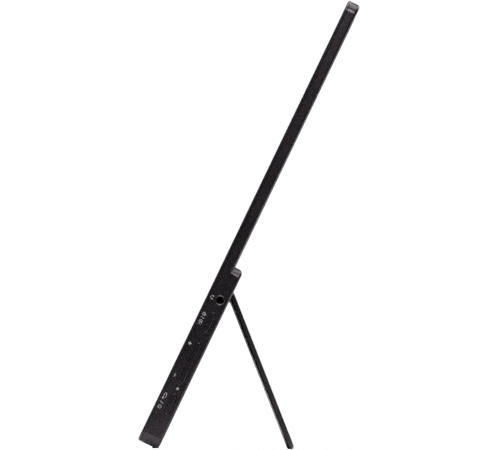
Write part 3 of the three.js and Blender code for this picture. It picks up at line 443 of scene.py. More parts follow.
def moulded_plastic(name, colour, rough, grain=0.02, dust=0.05, **shader):
    """Satin moulded plastic: spark-eroded grain, faint flow marks, and a worn, polished patchiness."""
    made = Finish(name, **shader)
    flow = made.noise(38, 4, 0.6)
    tone = made.blend(made.between(flow, (0.3, 0.7), (0, 1)), shade(colour, 0.82), shade(colour, 1.2))
    specks = made.between(made.noise(5200, 1, 0.5), (0.62, 0.8), (0, 0.15))
    tone = made.blend(specks, tone, shade(colour, 1.9))
    made.lead(made.dust(tone, dust) if dust else tone, "Base Color")
    wear = made.maths("ADD", made.noise(70, 5, 0.62), made.noise(900, 2))
    made.lead(made.between(wear, (0.7, 1.3), (rough - 0.05, rough + 0.06)), "Roughness")
    erosion = made.bump(made.noise(2600, 3, 0.6), grain)
    made.lead(made.bump(made.noise(60, 2), 0.05, 0.15, erosion), "Normal")
    return made.material


def brushed_metal(name, colour, rough, direction=(1, 14, 14), scale=300):
    """Rolled or turned metal: fine lines along one way, with cloudy patches in its gloss."""
    made = Finish(name, metallic=1.0)
    stretched = made.add("ShaderNodeMapping", {"Vector": made.place, "Scale": direction}).outputs[0]
    lines = made.noise(scale, 4, 0.6, stretched)
    cloudy = made.noise(120, 3)
    made.lead(made.blend(lines, shade(colour, 0.8), shade(colour, 1.15)), "Base Color")
    mixed = made.maths("ADD", lines, cloudy)
    made.lead(made.between(mixed, (0.7, 1.3), (rough - 0.07, rough + 0.1)), "Roughness")
    made.lead(made.bump(lines, 0.004), "Normal")
    return made.material


def rubber(name, colour):
    made = Finish(name, specular_ior_level=0.35)
    patches = made.noise(240, 5, 0.65)
    tone = made.blend(patches, shade(colour, 0.75), shade(colour, 1.35))
    return made.done(made.dust(tone, 0.12), patches, (0.7, 0.88), made.noise(3000, 4, 0.7), 0.03)


def screen_glass(name, border, glass, half_width, low, high):
    """Anti-glare glass with a black printed border round the dark picture area."""
    made = Finish(name, coat_weight=0.25, coat_roughness=0.12)
    made.in_panel(math.degrees(LEAN))
    start = PANEL.inverted() @ Vector((0, 0, 0))
    across, _depth, up = made.axes()
    lift = -start[Z]
    centre = PANEL.to_translation()[X]
    sideways = made.maths("ABSOLUTE", made.maths("SUBTRACT", across, centre), 0)
    outside = made.maths("GREATER_THAN", sideways, half_width * MM)
    below = made.maths("LESS_THAN", up, low * MM + lift)
    above = made.maths("GREATER_THAN", up, high * MM + lift)
    edge = made.maths("MAXIMUM", outside, made.maths("MAXIMUM", below, above))
    haze = made.noise(26, 3)
    tone = made.blend(haze, shade(glass, 0.85), shade(glass, 1.15))
    tone = made.blend(edge, tone, border)
    return made.done(tone, made.noise(150, 4), (0.16, 0.24), made.noise(9000, 1), 0.004)


def milky_light(name, colour, glow):
    """Milky diffusing plastic at the end of a light guide, softly lit from behind."""
    made = Finish(name, emission_strength=glow, subsurface_weight=0.2, subsurface_scale=0.0005)
    cloudy = made.noise(2400, 3)
    tone = made.blend(cloudy, shade(colour, 0.86), shade(colour, 1.05))
    made.lead(tone, "Emission Color")
    return made.done(tone, cloudy, (0.22, 0.34))


def printed_ink(name, colour):
    """Pad-printed ink: a little thin and uneven at its edges."""
    made = Finish(name, specular_ior_level=0.3)
    thin = made.between(made.noise(1900, 5, 0.7), (0.25, 0.75), (0.0, 1.0))
    made.lead(made.blend(thin, shade(colour, 0.72), colour), "Base Color")
    made.lead(made.between(thin, (0, 1), (0.6, 0.45)), "Roughness")
    made.lead(made.bump(thin, 0.006), "Normal")
    return made.material


def circuit_board(name, mask, copper, pad):
    """Solder mask over copper tracks that run up and across the board, with tinned pads."""
    made = Finish(name, coat_weight=0.3, coat_roughness=0.2)
    made.in_panel(math.degrees(LEAN))
    wobble = made.add("ShaderNodeMapping", {"Vector": made.place, "Scale": (1, 1, 0.25)}).outputs[0]
    tracks = made.add(
        "ShaderNodeTexWave",
        {"Vector": wobble, "Scale": 160, "Distortion": 9, "Detail": 1, "Detail Scale": 0.6},
        wave_type="BANDS",
        bands_direction="X",
    ).outputs["Fac"]
    lines = made.between(tracks, (0.55, 0.7), (0, 1))
    tone = made.blend(lines, mask, copper)
    spots = made.between(made.cells(240), (0.16, 0.2), (1, 0))
    tone = made.blend(spots, tone, pad)
    return made.done(tone, made.noise(90), (0.32, 0.5), made.maths("ADD", lines, spots), 0.02)


def chip_epoxy(name, colour):
    made = Finish(name, specular_ior_level=0.4)
    grain = made.noise(6000, 2)
    tone = made.blend(grain, shade(colour, 0.7), shade(colour, 1.5))
    return made.done(tone, made.noise(180), (0.45, 0.62), grain, 0.008)


def film_sheet(name, colour, rough, **shader):
    """White or clear sheets of the backlight, with the faint dot pattern that spreads the light."""
    made = Finish(name, **shader)
    dots = made.between(made.cells(900), (0.25, 0.35), (1, 0))
    tone = made.blend(dots, colour, shade(colour, 0.93))
    return made.done(tone, made.noise(40, 2), (rough - 0.05, rough + 0.08), dots, 0.005)


def striped_ribbon(name, colour, wire):
    """A flat ribbon: conductors in clear film, a millimetre apart."""
    made = Finish(name, coat_weight=0.4, coat_roughness=0.15)
    given = {"Vector": made.place, "Scale": 314}
    stripes = made.add("ShaderNodeTexWave", given, wave_type="BANDS").outputs["Fac"]
    share = made.between(stripes, (0.35, 0.65), (0, 1))
    return made.done(made.blend(share, colour, wire), made.noise(300), (0.3, 0.45), share, 0.02)


def lead_insulation(name, colour):
    made = Finish(name)
    patches = made.noise(500, 4)
    tone = made.blend(patches, shade(colour, 0.7), shade(colour, 1.4))
    return made.done(tone, patches, (0.4, 0.55), patches, 0.01)


def studio_floor(name, colour):
    made = Finish(name, specular_ior_level=0.1)
    patches = made.noise(1.5, 4, 0.5)
    return made.done(made.blend(patches, shade(colour, 0.985), colour), patches, (0.75, 0.85))


made_finishes = {}


def finish(name):
    """The named finish, made once, in the colours that are set for it."""
    if name not in made_finishes:
        colours = bpy.context.scene.photo_frame_colours
        recipe, *given, settings = FINISHES[name]
        values = [getattr(colours, value) if isinstance(value, str) else value for value in given]
        made_finishes[name] = recipe(name, *values, **settings)
    return made_finishes[name]


SHEEN = {"specular_tint": (1.0, 0.84, 0.98, 1), "specular_ior_level": 0.5}
FINISHES = {
    "casing_plastic": (moulded_plastic, "casing", 0.27, 0.004, 0.05, SHEEN),
    "stand_plastic": (moulded_plastic, "stand", 0.33, 0.006, 0.05, SHEEN),
    "key_plastic": (moulded_plastic, "keys", 0.25, 0.003, 0.02, SHEEN),
    "printed_ink": (printed_ink, "ink", {}),
    "rubber": (rubber, "rubber", {}),
    "socket_ring": (brushed_metal, "ring", 0.3, {"scale": 500}),
    "dark_screw": (brushed_metal, "screws", 0.34, {}),
    "port_steel": (brushed_metal, "steel", 0.28, {}),
    "sheet_steel": (brushed_metal, "steel", 0.36, {}),
    "hinge_steel": (brushed_metal, "steel", 0.32, {"direction": (14, 1, 1)}),
    "contact_gold": (brushed_metal, "gold", 0.22, {}),
    "tongue_plastic": (chip_epoxy, "keys", {}),
    "status_light": (milky_light, "light", 0.12, {}),
    "lamp_strip": (milky_light, "light", 0.0, {}),
    "white_film": (film_sheet, "film", 0.45, {}),
    "clear_guide": (film_sheet, "guide", 0.12, {"transmission_weight": 0.7, "ior": 1.49}),
    "board_mask": (circuit_board, "board", "copper", "tin", {}),
    "chip_epoxy": (chip_epoxy, "chip", {}),
    "flat_ribbon": (striped_ribbon, "film", "copper", {}),
    "lead_insulation": (lead_insulation, "chip", {}),
}

# ---------------------------------------------------------------- properties


def length(name, description, millimetres):
    return FloatProperty(
        name=name, description=description, default=millimetres * MM, min=0, unit="LENGTH", precision=5
    )


def tint(name, description, value):
    return FloatVectorProperty(
        name=name, description=description, default=value, size=3, min=0, max=1, subtype="COLOR"
    )


class PhotoFrameCasing(bpy.types.PropertyGroup):
    """Sizes of the casing that its outline doesn't give."""

    panel_depth: length("Panel depth", "Front to back above the housing", 6.0)
    housing_height: length("Housing height", "Lower edge to the top of the housing", 90.8)
    corner: length("Corner", "Radius of the panel's outline corners", 5.0)
    housing_corner: length("Housing corner", "Radius of the housing's upper outline corners", 4.5)
    front_rim: length("Front rim", "Rounding round the screen side", 0.8)
    panel_rim: length("Panel rim", "Rounding round the back of the panel", 1.2)
    housing_rim: length("Housing rim", "Rounding of the housing's upper and lower rear edges", 2.4)
    side_rim: length("Side rim", "Rounding of the housing's rear edges down both sides", 1.0)
    side_wall: length("Side wall", "Thickness of the side walls", 1.6)
    rear_wall: length("Rear wall", "Thickness of the panel's back", 1.1)
    housing_wall: length("Housing wall", "Thickness of the housing's back", 1.3)
    seam_depth: length("Seam depth", "Screen's face to the seam round the sides", 1.35)
    lip: length("Lip", "Bezel material over the screen's edge", 1.0)
    window_slope: length("Window slope", "Slope from the bezel's face down to the screen", 0.6)
    edge: length("Edge", "Softening of sharp moulded edges", 0.12)


class PhotoFrameStand(bpy.types.PropertyGroup):
    """Sizes of the stand and the recess that it folds into."""

    thickness: length("Leg thickness", "Front to back of the leg", 2.7)
    rim: length("Leg rim", "Rounding round the leg's faces", 0.9)
    top_corner: length("Top corner", "Radius of the leg's upper corners", 4.0)
    tip_corner: length("Tip corner", "Radius of the leg's lower corners", 8.5)
    gap: length("Side gap", "Between the leg and its recess", 0.5)
    knuckle_length: length("Knuckle length", "Length of a hinge knuckle", 10.0)
    knuckle_radius: length("Knuckle radius", "Radius of a hinge knuckle", 1.9)
    shaft_bore: length("Shaft bore", "Radius of the bore for the hinge shaft", 1.1)
    arm_foot: length("Arm foot", "How far a knuckle's arm runs down the leg", 5.5)
    recess_wall: length("Recess wall", "Material round the recess", 1.2)
    scoop_width: length("Scoop width", "Width of the finger scoop", 26.0)
    scoop_height: length("Scoop height", "Height of the finger scoop", 9.0)
    scoop_floor: length("Scoop floor", "Screen's face to the bottom of the finger scoop", 5.4)
    panel_inset: length("Shallow panel", "Depth of the shallow panel in the leg's outer face", 0.5)


class PhotoFrameOpenings(bpy.types.PropertyGroup):
    """Sizes of the openings, the keys and the marks."""

    key_width: length("Key width", "Width of the opening for a key", 2.7)
    key_gap: length("Key gap", "Between a key and its opening", 0.15)
    lip: length("Opening lip", "Rounding of an opening's mouth", 0.2)
    vent_slots: IntProperty(name="Vent slots", description="Vent slots on each side", default=8, min=1)
    vent_pitch: length("Vent pitch", "Spacing of the vent slots", 6.0)
    grille_slots: IntProperty(name="Grille slots", description="Speaker slots on each side", default=7, min=1)
    grille_pitch: length("Grille pitch", "Spacing of the speaker slots", 4.6)
    mark_depth: length("Mark depth", "Screen's face to the middle of the printed marks", 2.5)
    ink_thickness: length("Ink thickness", "Thickness of the printed marks", 0.03)


class PhotoFrameColours(bpy.types.PropertyGroup):
    """Colours of the finishes."""

    casing: tint("Casing", "Moulded casing", (0.0062, 0.0052, 0.0061))
    stand: tint("Stand", "Moulded stand", (0.0068, 0.0060, 0.0067))
    keys: tint("Keys", "Keys in the side", (0.0060, 0.0052, 0.0060))
    ink: tint("Ink", "Printed marks", (0.40, 0.39, 0.41))
    rubber: tint("Rubber", "Pads and the stand's foot", (0.020, 0.019, 0.020))
    ring: tint("Socket ring", "Ring of the headphone socket", (0.11, 0.105, 0.11))
    screws: tint("Screws", "Blackened screws", (0.08, 0.08, 0.085))
    steel: tint("Steel", "Plain steel", (0.52, 0.53, 0.54))
    gold: tint("Gold", "Plated contacts", (0.80, 0.58, 0.24))
    light: tint("Status light", "Milky end of the light guide", (0.34, 0.35, 0.34))
    film: tint("Film", "White films and ribbons", (0.82, 0.81, 0.78))
    guide: tint("Light guide", "Clear light guide", (0.80, 0.85, 0.87))
    board: tint("Board", "Solder mask", (0.006, 0.060, 0.030))
    copper: tint("Copper", "Tracks under the mask", (0.030, 0.160, 0.060))
    tin: tint("Tin", "Tinned pads", (0.50, 0.50, 0.48))
    chip: tint("Chip", "Black epoxy", (0.014, 0.014, 0.015))
    glass: tint("Screen", "Dark picture area", (0.0090, 0.0092, 0.0110))
    border: tint("Screen border", "Printed border", (0.0030, 0.0030, 0.0032))
    floor: tint("Floor", "Plain pale floor", (0.90, 0.90, 0.90))


class Millimetres:
    """A property group's values, its lengths in millimetres."""

    def __init__(self, group):
        self.group = group

    def __getattr__(self, name):
        value = getattr(self.group, name)
        return value / MM if isinstance(value, float) else value


def casing_sizes():
    return Millimetres(bpy.context.scene.photo_frame_casing)


def stand_sizes():
    return Millimetres(bpy.context.scene.photo_frame_stand)


def opening_sizes():
    return Millimetres(bpy.context.scene.photo_frame_openings)


# ---------------------------------------------------------------- rear cover


def casing_body(size):
    """The panel and the housing behind it, with their rounded corners and rims, open in front."""
    wide, deep, high = spans("rear_cover")
    ahead = -5
    panel = add_slab(wide, (ahead, size.panel_depth), high, size.corner, back=size.panel_rim)
    up = (0, size.housing_height)
    housing = add_slab(wide, (ahead, deep[1]), up, size.corner, size.housing_corner, back=size.side_rim)
    profile = add_block((wide[0] - 2, wide[1] + 2), (ahead - 1, deep[1]), up)
    bevel(profile, lambda e: runs_along(e, X) and lies_at(e, Y, deep[1]), size.housing_rim, 10)
    combine(housing, profile, "INTERSECT")
    body = join(panel, housing)
    cut(body, add_block((wide[0] - 5, wide[1] + 5), (ahead - 5, deep[0]), (high[0] - 5, high[1] + 5)))
    tidy_faces(body)
    bevel(
        body,
        lambda e: lies_at(e, Y, deep[0]) and len(e.link_faces) == 2 and e.calc_face_angle(0) > 1.2,
        size.edge,
        2,
    )
    return body


def stand_room(stand, deep):
    """Places of the stand's recess: its half width, floor and top, and those of a knuckle's well."""
    leg = spans("stand_leg", STAND)
    plate_back = leg[Y][1]
    cos, sin = math.cos(OPEN), math.sin(OPEN)
    top = PIVOT[Z] + (plate_back - stand.rim) * sin + (leg[Z][1] - stand.rim) * cos + stand.rim + 0.15
    return {
        "half": leg[X][1] + stand.gap,
        "floor": deep - stand.thickness - 0.5,
        "top": top,
        "well_x": (leg[X][1] - stand.knuckle_length - stand.gap, leg[X][1] + stand.gap),
        "well_z": (PIVOT[Z] - stand.arm_foot - stand.gap, top),
        "well_floor": PIVOT[Y] - stand.knuckle_radius - 0.2,
    }


def casing_hollow(size, stand, room, wide, deep, high):
    """The room inside the cover, less the tubs round the stand's recess."""
    wall = size.side_wall
    inside = (wide[0] + wall, wide[1] - wall)
    corner = size.corner - wall
    hollow = add_slab(inside, (-3, size.panel_depth - size.rear_wall), (wall, high - wall), corner)
    up = (wall, size.housing_height - wall)
    behind = add_slab(inside, (-3, deep - size.housing_wall), up, corner, size.housing_corner - wall)
    join(hollow, behind)
    around = stand.recess_wall
    half = room["half"] + around
    tubs = [
        add_block(both_ways(half), (room["floor"] - around, deep + 1), (-1, room["top"] + around)),
        add_block(
            both_ways(stand.scoop_width / 2 + around),
            (stand.scoop_floor - around, deep + 2),
            (-2, stand.scoop_height + around),
        ),
    ]
    for side in (1, -1):
        reach = sorted(side * x for x in (room["well_x"][0] - 0.8, room["well_x"][1] + around))
        rise = (room["well_z"][0] - 0.8, room["well_z"][1] + around)
        tubs.append(add_block(reach, (room["well_floor"] - 0.8, room["floor"]), rise))
    return cut(hollow, *tubs)


def recess_tools(stand, room, deep):
    """Tools for the hollow that takes the folded stand, with softened mouths."""
    back = moved(0, deep, 0) @ OUT_BACK
    recess_height = room["top"] + 5
    recess = slot_tool(2 * room["half"], recess_height, deep - room["floor"], 0.35, 1.2, 4)
    recess.matrix_world = back @ moved(0, (room["top"] - 5) / 2, 0)
    scoop = slot_tool(stand.scoop_width, stand.scoop_height + 5, deep - stand.scoop_floor, 0.35, 4.0, 8)
    scoop.matrix_world = back @ moved(0, (stand.scoop_height - 5) / 2, 0)
    tools = [recess, scoop]
    for tool in tools:
        settle(tool)
    for side in (1, -1):
        reach = sorted(side * x for x in room["well_x"])
        tools.append(add_block(reach, (room["well_floor"], room["floor"] + 0.2), room["well_z"]))
        bore = sorted(side * x for x in (room["well_x"][1] - 0.5, room["half"] + stand.recess_wall + 0.5))
        tools.append(add_rod(X, bore, (PIVOT[Y], PIVOT[Z]), stand.shaft_bore, 30))
    return tools


def slot_row(centre, count, pitch, width, rise, deep, wall):
    tool = slot_tool(width, rise[1] - rise[0], wall + 0.6, 0.2, width / 2.2, 6)
    steps = [(i - (count - 1) / 2) * pitch for i in range(count)]
    places = [centre + step for step in steps] + [-centre - step for step in steps]
    return repeated(tool, [moved(x, deep, middle(rise)) @ OUT_BACK for x in places])


def side_opening_tools(sizes, wide):
    """Tools for the openings in both sides, each at the middle of the node that fills it."""
    right = []
    for node in ("menu_button", "volume_rocker", "power_button"):
        _across, depth, rise = key_cap(node)
        tool = slot_tool(sizes.key_width, rise[1] - rise[0] + 2 * sizes.key_gap, 3, sizes.lip, steps=10)
        right.append(place_tool(tool, OUT_RIGHT, wide[1], middle(depth), middle(rise)))
    for node, radius in (("status_light_pipe", 0.7), ("headphone_socket", 2.4)):
        _across, depth, rise = spans(node)
        tool = hole_tool(radius, 3, sizes.lip / 2)
        right.append(place_tool(tool, OUT_RIGHT, wide[1], middle(depth), middle(rise)))
    left = []
    for node in ("data_socket", "power_socket"):
        _across, depth, rise = spans(node)
        tool = slot_tool(depth[1] - depth[0] + 0.4, rise[1] - rise[0] + 0.4, 3, sizes.lip, steps=10)
        left.append(place_tool(tool, OUT_LEFT, wide[0], middle(depth), middle(rise)))
    _across, depth, rise = spans("card_socket")
    tool = slot_tool(depth[1] - depth[0] - 0.6, rise[1] - rise[0] - 0.6, 3, 0.35, 0.77, 4)
    left.append(place_tool(tool, OUT_LEFT, wide[0], middle(depth), middle(rise)))
    return right + left


def key_cap(node):
    """Extent of a key's cap: the flange behind the wall reaches 0.8 further on every side."""
    across, depth, rise = spans(node)
    reach = 0.8
    return across, (depth[0] + reach / 2, depth[1] - reach / 2), (rise[0] + reach, rise[1] - reach)


def screw_places(sign):
    """Depth and place of the cover screws' heads on one side, each with its level, lower first."""
    side = "right" if sign > 0 else "left"
    return [(spans(f"cover_screw_{level}_{side}"), level) for level in ("lower", "upper")]


class PHOTOFRAME_OT_rear_cover(bpy.types.Operator):
    """Moulded rear cover: panel back, housing, stand recess, vents, grilles and side openings"""

    bl_idname = "photo_frame.rear_cover"
    bl_label = "Rear Cover"

    def execute(self, context):
        size, stand, sizes = casing_sizes(), stand_sizes(), opening_sizes()
        wide, depth, high = spans("rear_cover")
        deep = depth[1]
        room = stand_room(stand, deep)
        cover = casing_body(size)
        cut(cover, casing_hollow(size, stand, room, wide, deep, high[1]))
        inner = deep - size.housing_wall
        posts, holes = [], []
        for sign in (1, -1):
            for (across, reach, rise), level in screw_places(sign):
                x, z = middle(across), middle(rise)
                if level == "upper":
                    foot = spans("screen_tray")[Y][1] + 0.2
                else:
                    foot = spans("main_board")[Y][0] + 0.8
                posts.append(add_rod(Y, (foot, inner + 0.2), (x, z), 2.6, 32))
                holes.append(add_rod(Y, (foot - 1, deep + 1), (x, z), 1.05, 24))
                seat = hole_tool(1.95, deep - reach[1] + 0.95, 0.25, 32)
                holes.append(place_tool(seat, OUT_BACK, x, deep, z))
            side = "right" if sign > 0 else "left"
            for level in ("upper", "lower"):
                across, _reach, rise = spans(f"hinge_screw_{level}_{side}")
                x, z = middle(across), middle(rise)
                start = PIVOT[Y] + 0.6
                posts.append(add_rod(Y, (start, inner + 0.2), (x, z), 2.1, 32))
                holes.append(add_rod(Y, (start - 1, deep - 0.5), (x, z), 1.0, 24))
        join(cover, *posts)
        cut(cover, *recess_tools(stand, room, deep))
        cut(cover, *holes)
        cut(cover, *side_opening_tools(sizes, wide))
        vent_rise = size.housing_height - size.housing_rim - 3.2
        beside_recess = 22.3
        vent_row = (sizes.vent_slots - 1) / 2 * sizes.vent_pitch
        vent_centre = room["half"] + stand.recess_wall + beside_recess + vent_row
        rise = (vent_rise - 9, vent_rise)
        vents = slot_row(
            vent_centre, sizes.vent_slots, sizes.vent_pitch, 1.8, rise, deep, size.housing_wall
        )
        speaker = spans("speaker_right")
        rise = (speaker[Z][0] + 2, speaker[Z][1] - 2)
        grilles = slot_row(
            middle(speaker[X]), sizes.grille_slots, sizes.grille_pitch, 1.6, rise, deep, size.housing_wall
        )
        weld(cover)  # on an open body the cut of these slots fails now and then
        cut(cover, vents, grilles)
        for node in ("bottom_pad_right", "bottom_pad_left"):
            low, high_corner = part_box(node)
            room_for_pad = [[low[i] / MM - 0.1, high_corner[i] / MM + 0.1] for i in (X, Y, Z)]
            room_for_pad[Z][0] -= 4
            pocket = add_block(*room_for_pad)
            pocket.matrix_world = PANEL.inverted()
            settle(pocket)
            cut(cover, pocket)
        hand_in(cover, "rear_cover_shell", PANEL, "frame", finish("casing_plastic"), ["rear_cover"])
        return {"FINISHED"}


# ---------------------------------------------------------------- front bezel and screen


class PHOTOFRAME_OT_front_bezel(bpy.types.Operator):
    """Front bezel: the frame round the screen, its sloped window and the tongue behind its seam"""

    bl_idname = "photo_frame.front_bezel"
    bl_label = "Front Bezel"

    def execute(self, context):
        size = casing_sizes()
        wide, _depth, high = spans("front_bezel")
        cell = spans("screen_cell")
        seam = size.seam_depth
        ring = add_slab(wide, (0, seam), high, size.corner, front=size.front_rim)
        bevel(ring, lambda e: lies_at(e, Y, seam), size.edge, 2)
        inset = size.side_wall + 0.1
        outer = (wide[0] + inset, wide[1] - inset)
        rise = (inset, high[1] - inset)
        tongue = add_slab(outer, (size.lip - 0.1, seam + 0.95), rise, size.corner - size.side_wall)
        join(ring, tongue)
        thin = 0.8
        across, up = ((span[0] + thin, span[1] - thin) for span in (outer, rise))
        behind = add_slab(across, (size.lip, seam + 3), up, 1.5, steps=4)
        cut(ring, behind)
        window = [cell[X][1] - 1.7, cell[Z][0] + 1.7, cell[Z][1] - 1.7]
        tool = slot_tool(
            2 * window[0], window[2] - window[1], size.lip + 0.5, size.window_slope, corner=0.15, steps=2
        )
        front = Matrix(((1, 0, 0, 0), (0, 0, -1, 0), (0, 1, 0, 0), (0, 0, 0, 1)))
        cut(ring, place_tool(tool, front, 0, 0, (window[1] + window[2]) / 2))
        for sign in (1, -1):
            (across, _reach, up), _level = screw_places(sign)[0]
            x, z = middle(across), middle(up)
            boss = add_rod(Y, (size.lip - 0.2, spans("main_board")[Y][0] + 0.7), (x, z), 2.6, 32)
            join(ring, boss)
            cut(ring, add_rod(Y, (size.lip + 0.8, 12), (x, z), 1.05, 24))
        hand_in(ring, "front_bezel_ring", PANEL, "frame", finish("casing_plastic"), ["front_bezel"])
        return {"FINISHED"}


class PHOTOFRAME_OT_screen(bpy.types.Operator):
    """Screen glass: ground edges, with a printed border round the picture area"""

    bl_idname = "photo_frame.screen"
    bl_label = "Screen"

    def execute(self, context):
        wide, depth, high = spans("screen_cell")
        colours = context.scene.photo_frame_colours
        glass = add_block(wide, depth, high)
        bevel(glass, lambda e: runs_along(e, Y), 0.5, 3)
        bevel(glass, lambda e: lies_at(e, Y, depth[0]) or lies_at(e, Y, depth[1]), 0.12, 2)
        border = 2.0
        edges = (wide[1] - border, high[0] + border, high[1] - border)
        material = screen_glass("screen_glass", colours.border, colours.glass, *edges)
        hand_in(glass, "screen_glass", PANEL, "frame", material, ["screen_cell"])
        return {"FINISHED"}


# ---------------------------------------------------------------- keys, light and sockets


def key_shape(node, nubs):
    """A key's rounded cap, the flange that keeps it in, and the nubs that press its switches."""
    across, depth, rise = key_cap(node)
    whole = spans(node)
    cap_start = whole[X][0] + 0.6
    width, high = depth[1] - depth[0], rise[1] - rise[0]
    deep = across[1] - cap_start
    cap = slot_shape(width, high, deep, crown=0.3)
    place_tool(cap, OUT_RIGHT, across[1], middle(depth), middle(rise))
    flange = slot_shape(width + 0.8, high + 1.6, 0.6, crown=0.1)
    place_tool(flange, OUT_RIGHT, cap_start + 0.6, middle(depth), middle(rise))
    join(cap, flange)
    for nub in nubs:
        rod = add_rod(X, (whole[X][0], cap_start + 0.3), (middle(depth), middle(rise) + nub), 0.8, 24)
        bevel(rod, lambda e: lies_at(e, X, whole[X][0]), 0.15, 2)
        join(cap, rod)
    return cap


def slot_shape(width, high, deep, crown):
    """A bar with round ends, its face at z = 0, with the rim of that face rounded over."""
    made = add_block(both_ways(width / 2), both_ways(high / 2), (-deep, 0))
    bevel(made, lambda e: runs_along(e, Z), 0.49 * width, 12)
    bevel(made, lambda e: lies_at(e, Z, 0), crown, 5)
    return made


class PHOTOFRAME_OT_keys(bpy.types.Operator):
    """The three keys in the right side: menu, volume rocker and power"""

    bl_idname = "photo_frame.keys"
    bl_label = "Keys"

    def execute(self, context):
        keys = (
            ("menu_button", "menu_key_cap", "menu_key", (0,)),
            ("volume_rocker", "volume_key_cap", "volume_key", (7.0, -7.0)),
            ("power_button", "power_key_cap", "power_key", (0,)),
        )
        for node, name, body, nubs in keys:
            cap = key_shape(node, nubs)
            hand_in(cap, name, PANEL, body, finish("key_plastic"), [node])
        return {"FINISHED"}


class PHOTOFRAME_OT_headphone_socket(bpy.types.Operator):
    """Headphone socket: its ring in the side, its bore and its body behind the wall"""

    bl_idname = "photo_frame.headphone_socket"
    bl_label = "Headphone Socket"

    def execute(self, context):
        size = casing_sizes()
        across, depth, rise = spans("headphone_socket")
        wall = across[1] - size.side_wall
        centre = (middle(depth), middle(rise))
        body = add_block((across[0], wall - 0.2), depth, rise)
        bevel(body, lambda e: runs_along(e, X), 0.3, 3)
        nose = add_rod(X, (wall - 0.5, across[1]), centre, 2.3, 64)
        bevel(nose, lambda e: lies_at(e, X, across[1]), 0.22, 4)
        join(body, nose)
        bore = hole_tool(1.8, across[1] - across[0] - 1, 0.16, 64)
        cut(body, place_tool(bore, OUT_RIGHT, across[1], *centre))
        body.data.materials.append(finish("socket_ring"))
        body.data.materials.append(finish("tongue_plastic"))
        deep_in = (across[1] - 0.35) * MM
        for face in body.data.polygons:
            face.material_index = 0 if face.center[X] > deep_in else 1
        hand_in(body, "headphone_socket_ring", PANEL, "frame", None, ["headphone_socket"])
        return {"FINISHED"}


class PHOTOFRAME_OT_status_light(bpy.types.Operator):
    """Status light: a domed light guide in the side"""

    bl_idname = "photo_frame.status_light"
    bl_label = "Status Light"

    def execute(self, context):
        size = casing_sizes()
        across, depth, rise = spans("status_light_pipe")
        centre = (middle(depth), middle(rise))
        guide = add_rod(X, across, centre, 0.6, 40)
        bevel(guide, lambda e: lies_at(e, X, across[1]), 0.25, 5)
        wall = spans("rear_cover")[X][1] - size.side_wall
        collar = add_rod(X, (wall - 1, wall - 0.1), centre, 1.0, 40)
        bevel(collar, lambda e: lies_at(e, X, wall - 1), 0.2, 3)
        join(guide, collar)
        light = finish("status_light")
        hand_in(guide, "status_light_guide", PANEL, "frame", light, ["status_light_pipe"])
        return {"FINISHED"}


class PHOTOFRAME_OT_side_ports(bpy.types.Operator):
    """The two reversible ports in the left side, modelled once: shell, tongue and contacts"""

    bl_idname = "photo_frame.side_ports"
    bl_label = "Side Ports"

    def execute(self, context):
        across, depth, rise = spans("data_socket")
        width, high, deep = depth[1] - depth[0], rise[1] - rise[0], across[1] - across[0]
        shell = slot_shape(width, high, deep, crown=0.08)
        sheet = 0.3
        mouth = slot_tool(width - 2 * sheet, high - 2 * sheet, deep - 2 * sheet, 0.1, steps=10)
        cut(shell, mouth)
        tongue = add_block(both_ways(0.35), both_ways(3.3), (0.3 - deep, -0.6))
        bevel(tongue, lambda e: lies_at(e, Z, -0.6), 0.12, 2)
        join(shell, tongue)
        contacts = []
        for i in range(6):
            contacts.append(moved(0, (i - 2.5) * 0.95, 0))
        contact = add_block(both_ways(0.375), both_ways(0.2), (-3.4, -0.95))
        join(shell, repeated(contact, contacts))
        for name in ("port_steel", "tongue_plastic", "contact_gold"):
            shell.data.materials.append(finish(name))
        for face in shell.data.polygons:
            x, y, z = (value / MM for value in face.center)
            on_tongue = abs(x) < 0.4 and abs(y) < 3.32 and -deep + 0.7 < z < -0.5
            on_contact = on_tongue and abs(x) > 0.36 and -3.5 < z < -0.9
            face.material_index = 2 if on_contact else 1 if on_tongue else 0
        for node in ("data_socket", "power_socket"):
            _across, depth, rise = spans(node)
            port = copied(shell, moved(across[0], middle(depth), middle(rise)) @ OUT_LEFT)
            hand_in(port, f"{node}_shell", PANEL, "frame", None, [node])
        bpy.data.objects.remove(shell)
        return {"FINISHED"}


class PHOTOFRAME_OT_cover_screws(bpy.types.Operator):
    """The four cover screws, modelled once: a cross-recessed head on a threaded shank"""

    bl_idname = "photo_frame.cover_screws"
    bl_label = "Cover Screws"

    def execute(self, context):
        for level in ("lower", "upper"):
            across, depth, rise = spans(f"cover_screw_{level}_right")
            tip, top = depth
            head = add_rod(Y, (top - 0.9, top), (0, 0), 1.8, 40)
            bevel(head, lambda e: lies_at(e, Y, top), 0.3, 4)
            shank = add_rod(Y, (tip, top - 0.7), (0, 0), 0.78, 24)
            bevel(shank, lambda e: lies_at(e, Y, tip), 0.3, 2)
            join(head, shank)
            pitch = 0.6
            turns = int((top - tip - 1.9) / pitch)
            ridge = add_rod(Y, (tip + 0.7, tip + 0.7 + 0.3), (0, 0), 0.9, 24)
            bevel(ridge, lambda e: lies_at(e, Y, tip + 0.7) or lies_at(e, Y, tip + 1.0), 0.1, 1)
            join(head, repeated(ridge, [moved(0, i * pitch, 0) for i in range(turns)]))
            for half in ((1.1, 0.22), (0.22, 1.1)):
                slot = add_block(both_ways(half[0]), (top - 0.45, top + 1), both_ways(half[1]))
                bevel(slot, lambda e: lies_at(e, Y, top - 0.45), 0.1, 2)
                cut(head, slot)
            for side in ("right", "left"):
                place = spans(f"cover_screw_{level}_{side}")
                screw = copied(head, moved(middle(place[X]), 0, middle(place[Z])))
                name = f"cover_screw_{level}_{side}"
                hand_in(screw, f"{name}_head", PANEL, "frame", finish("dark_screw"), [name])
            bpy.data.objects.remove(head)
        return {"FINISHED"}


